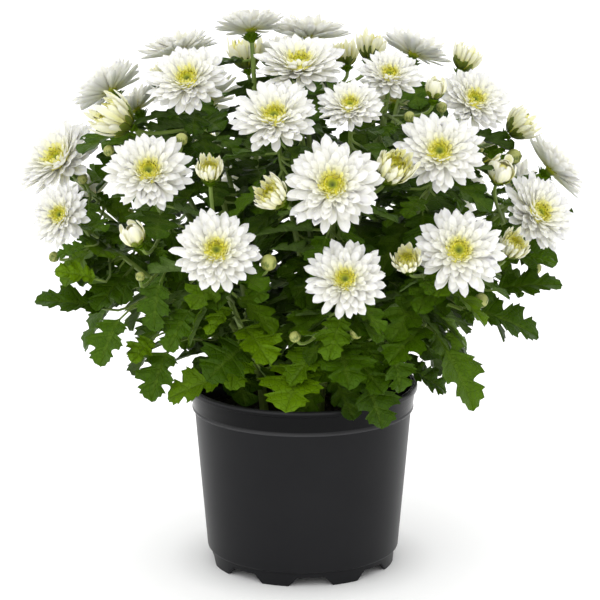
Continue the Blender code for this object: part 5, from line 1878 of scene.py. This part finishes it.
def make_plants(finishes):
    """The five plants and their blooms, as finer pieces in the place of their nodes."""
    leaf, stem, bud, petal = finishes
    trunks, shoots, side = make_shoots()
    heads = []
    for kind in HEAD_KINDS:
        heads += [(f"{kind.name}_{i + 1:02d}", kind, head) for i, head in enumerate(kind.heads)]
    solids = [tree_of_node("pot")] + [tree_of_node(name) for name, _, _ in heads]
    leaves, inner = make_leaves(trunks, shoots, side, solids)
    draw = random.Random(PLANT_SEED)
    plants, fillers = [Parts() for _ in range(TRUNKS)], [Parts() for _ in range(TRUNKS)]
    add_stems(plants, trunks, shoots, side, draw)
    for plant, fit, root in leaves:
        tone = tone_with_painted_light(fit.frame.translation, draw)
        fine_leaf(plants[plant], fit, root, draw, FINE_LEAF, tone)
    for plant, fit, root in inner:
        # The inner leaves get more painted shade than the outer ones
        tone = tone_with_painted_light(fit.frame.translation, draw) * INNER_PAINTED_SHADE
        fine_leaf(fillers[plant], fit, root, draw, SMALL_LEAF, tone)
    for k in range(TRUNKS):
        place_piece(plants[k].build(f"plant_{k + 1}_fine", [leaf, stem, bud]), "foliage", f"plant_{k + 1}")
        place_piece(fillers[k].build(f"plant_{k + 1}_inner_leaves", [leaf, stem]), "foliage")
    for name, kind, head in heads:
        place_piece(fine_head(kind, head, draw).build(f"{name}_fine", [petal]), kind.slot, name)


def place_piece(piece, slot, *nodes):
    """The piece rides on the root body and takes the place of its nodes; its slot is not used."""
    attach(piece, "root")
    if nodes:
        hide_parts(*nodes)


def make_object():
    """The pot, what lies in it and the plants."""
    plastic, earth = plastic_finish(), soil_finish()
    place_piece(make_pot(plastic), "pot", "pot")
    place_piece(make_soil(earth), "soil", "soil")
    place_piece(make_crumbs(earth), "soil")
    place_piece(make_straw(straw_finish()), "soil")
    make_plants((leaf_finish(), stem_finish(), bud_finish(), petal_finish()))


# Camera, floor and light

CAMERA_PLACE = Vector((-1.9, -1776.0, 612.2)) * MM
CAMERA_PITCH = 0.2411
CAMERA_LENS = 168.93
CAMERA_REACH = 100.0
SENSOR = 36.0
FLOOR_SIZE = 12.0
WORLD_LIGHT = 1.08
SUN_ANGLE = 1.3

# Suns: name, the side that the light comes from, and strength
SUNS = (
    ("back_light", (0.25, 1.0, 0.9), 0.5),
    ("key_light", (-0.35, -1.0, 1.3), 0.75),
    ("low_light", (-0.25, -1.0, 0.12), 0.25),
)


def linked(name, data):
    """A new object for the data, in the scene."""
    obj = bpy.data.objects.new(name, data)
    bpy.context.scene.collection.objects.link(obj)
    return obj


def make_camera():
    data = bpy.data.cameras.new("camera")
    data.lens = CAMERA_LENS
    data.sensor_width = SENSOR
    data.clip_end = CAMERA_REACH
    camera = linked("camera", data)
    camera.location = CAMERA_PLACE
    camera.rotation_euler = (math.pi / 2 - CAMERA_PITCH, 0.0, 0.0)
    bpy.context.scene.camera = camera


def make_floor():
    half = FLOOR_SIZE / 2
    corners = [(x * half, y * half, 0) for x, y in ((-1, -1), (1, -1), (1, 1), (-1, 1))]
    mesh = bpy.data.meshes.new("floor")
    mesh.from_pydata(corners, [], [(0, 1, 2, 3)])
    mesh.materials.append(floor_finish())
    linked("floor", mesh)


def make_world():
    """Even white light, and a plain white that only the camera sees."""
    world = bpy.data.worlds.new("studio")
    bpy.context.scene.world = world
    world.use_nodes = True
    tree = world.node_tree
    lit = tree.nodes["Background"]
    seen = tree.nodes.new("ShaderNodeBackground")
    set_inputs(lit, {"Color": WHITE, "Strength": WORLD_LIGHT})
    set_inputs(seen, {"Color": WHITE, "Strength": 1.0})
    rays = tree.nodes.new("ShaderNodeLightPath")
    mix = tree.nodes.new("ShaderNodeMixShader")
    tree.links.new(rays.outputs["Is Camera Ray"], mix.inputs["Fac"])
    tree.links.new(lit.outputs["Background"], mix.inputs[1])
    tree.links.new(seen.outputs["Background"], mix.inputs[2])
    tree.links.new(mix.outputs["Shader"], tree.nodes["World Output"].inputs["Surface"])


def make_suns():
    for name, place, strength in SUNS:
        data = bpy.data.lights.new(name, "SUN")
        data.angle = SUN_ANGLE
        data.energy = strength
        lamp = linked(name, data)
        lamp.location = place
        lamp.rotation_euler = (-Vector(place)).to_track_quat("-Z", "Y").to_euler()


make_camera()
make_object()
make_floor()
make_world()
make_suns()
bpy.context.scene.view_settings.view_transform = "Standard"
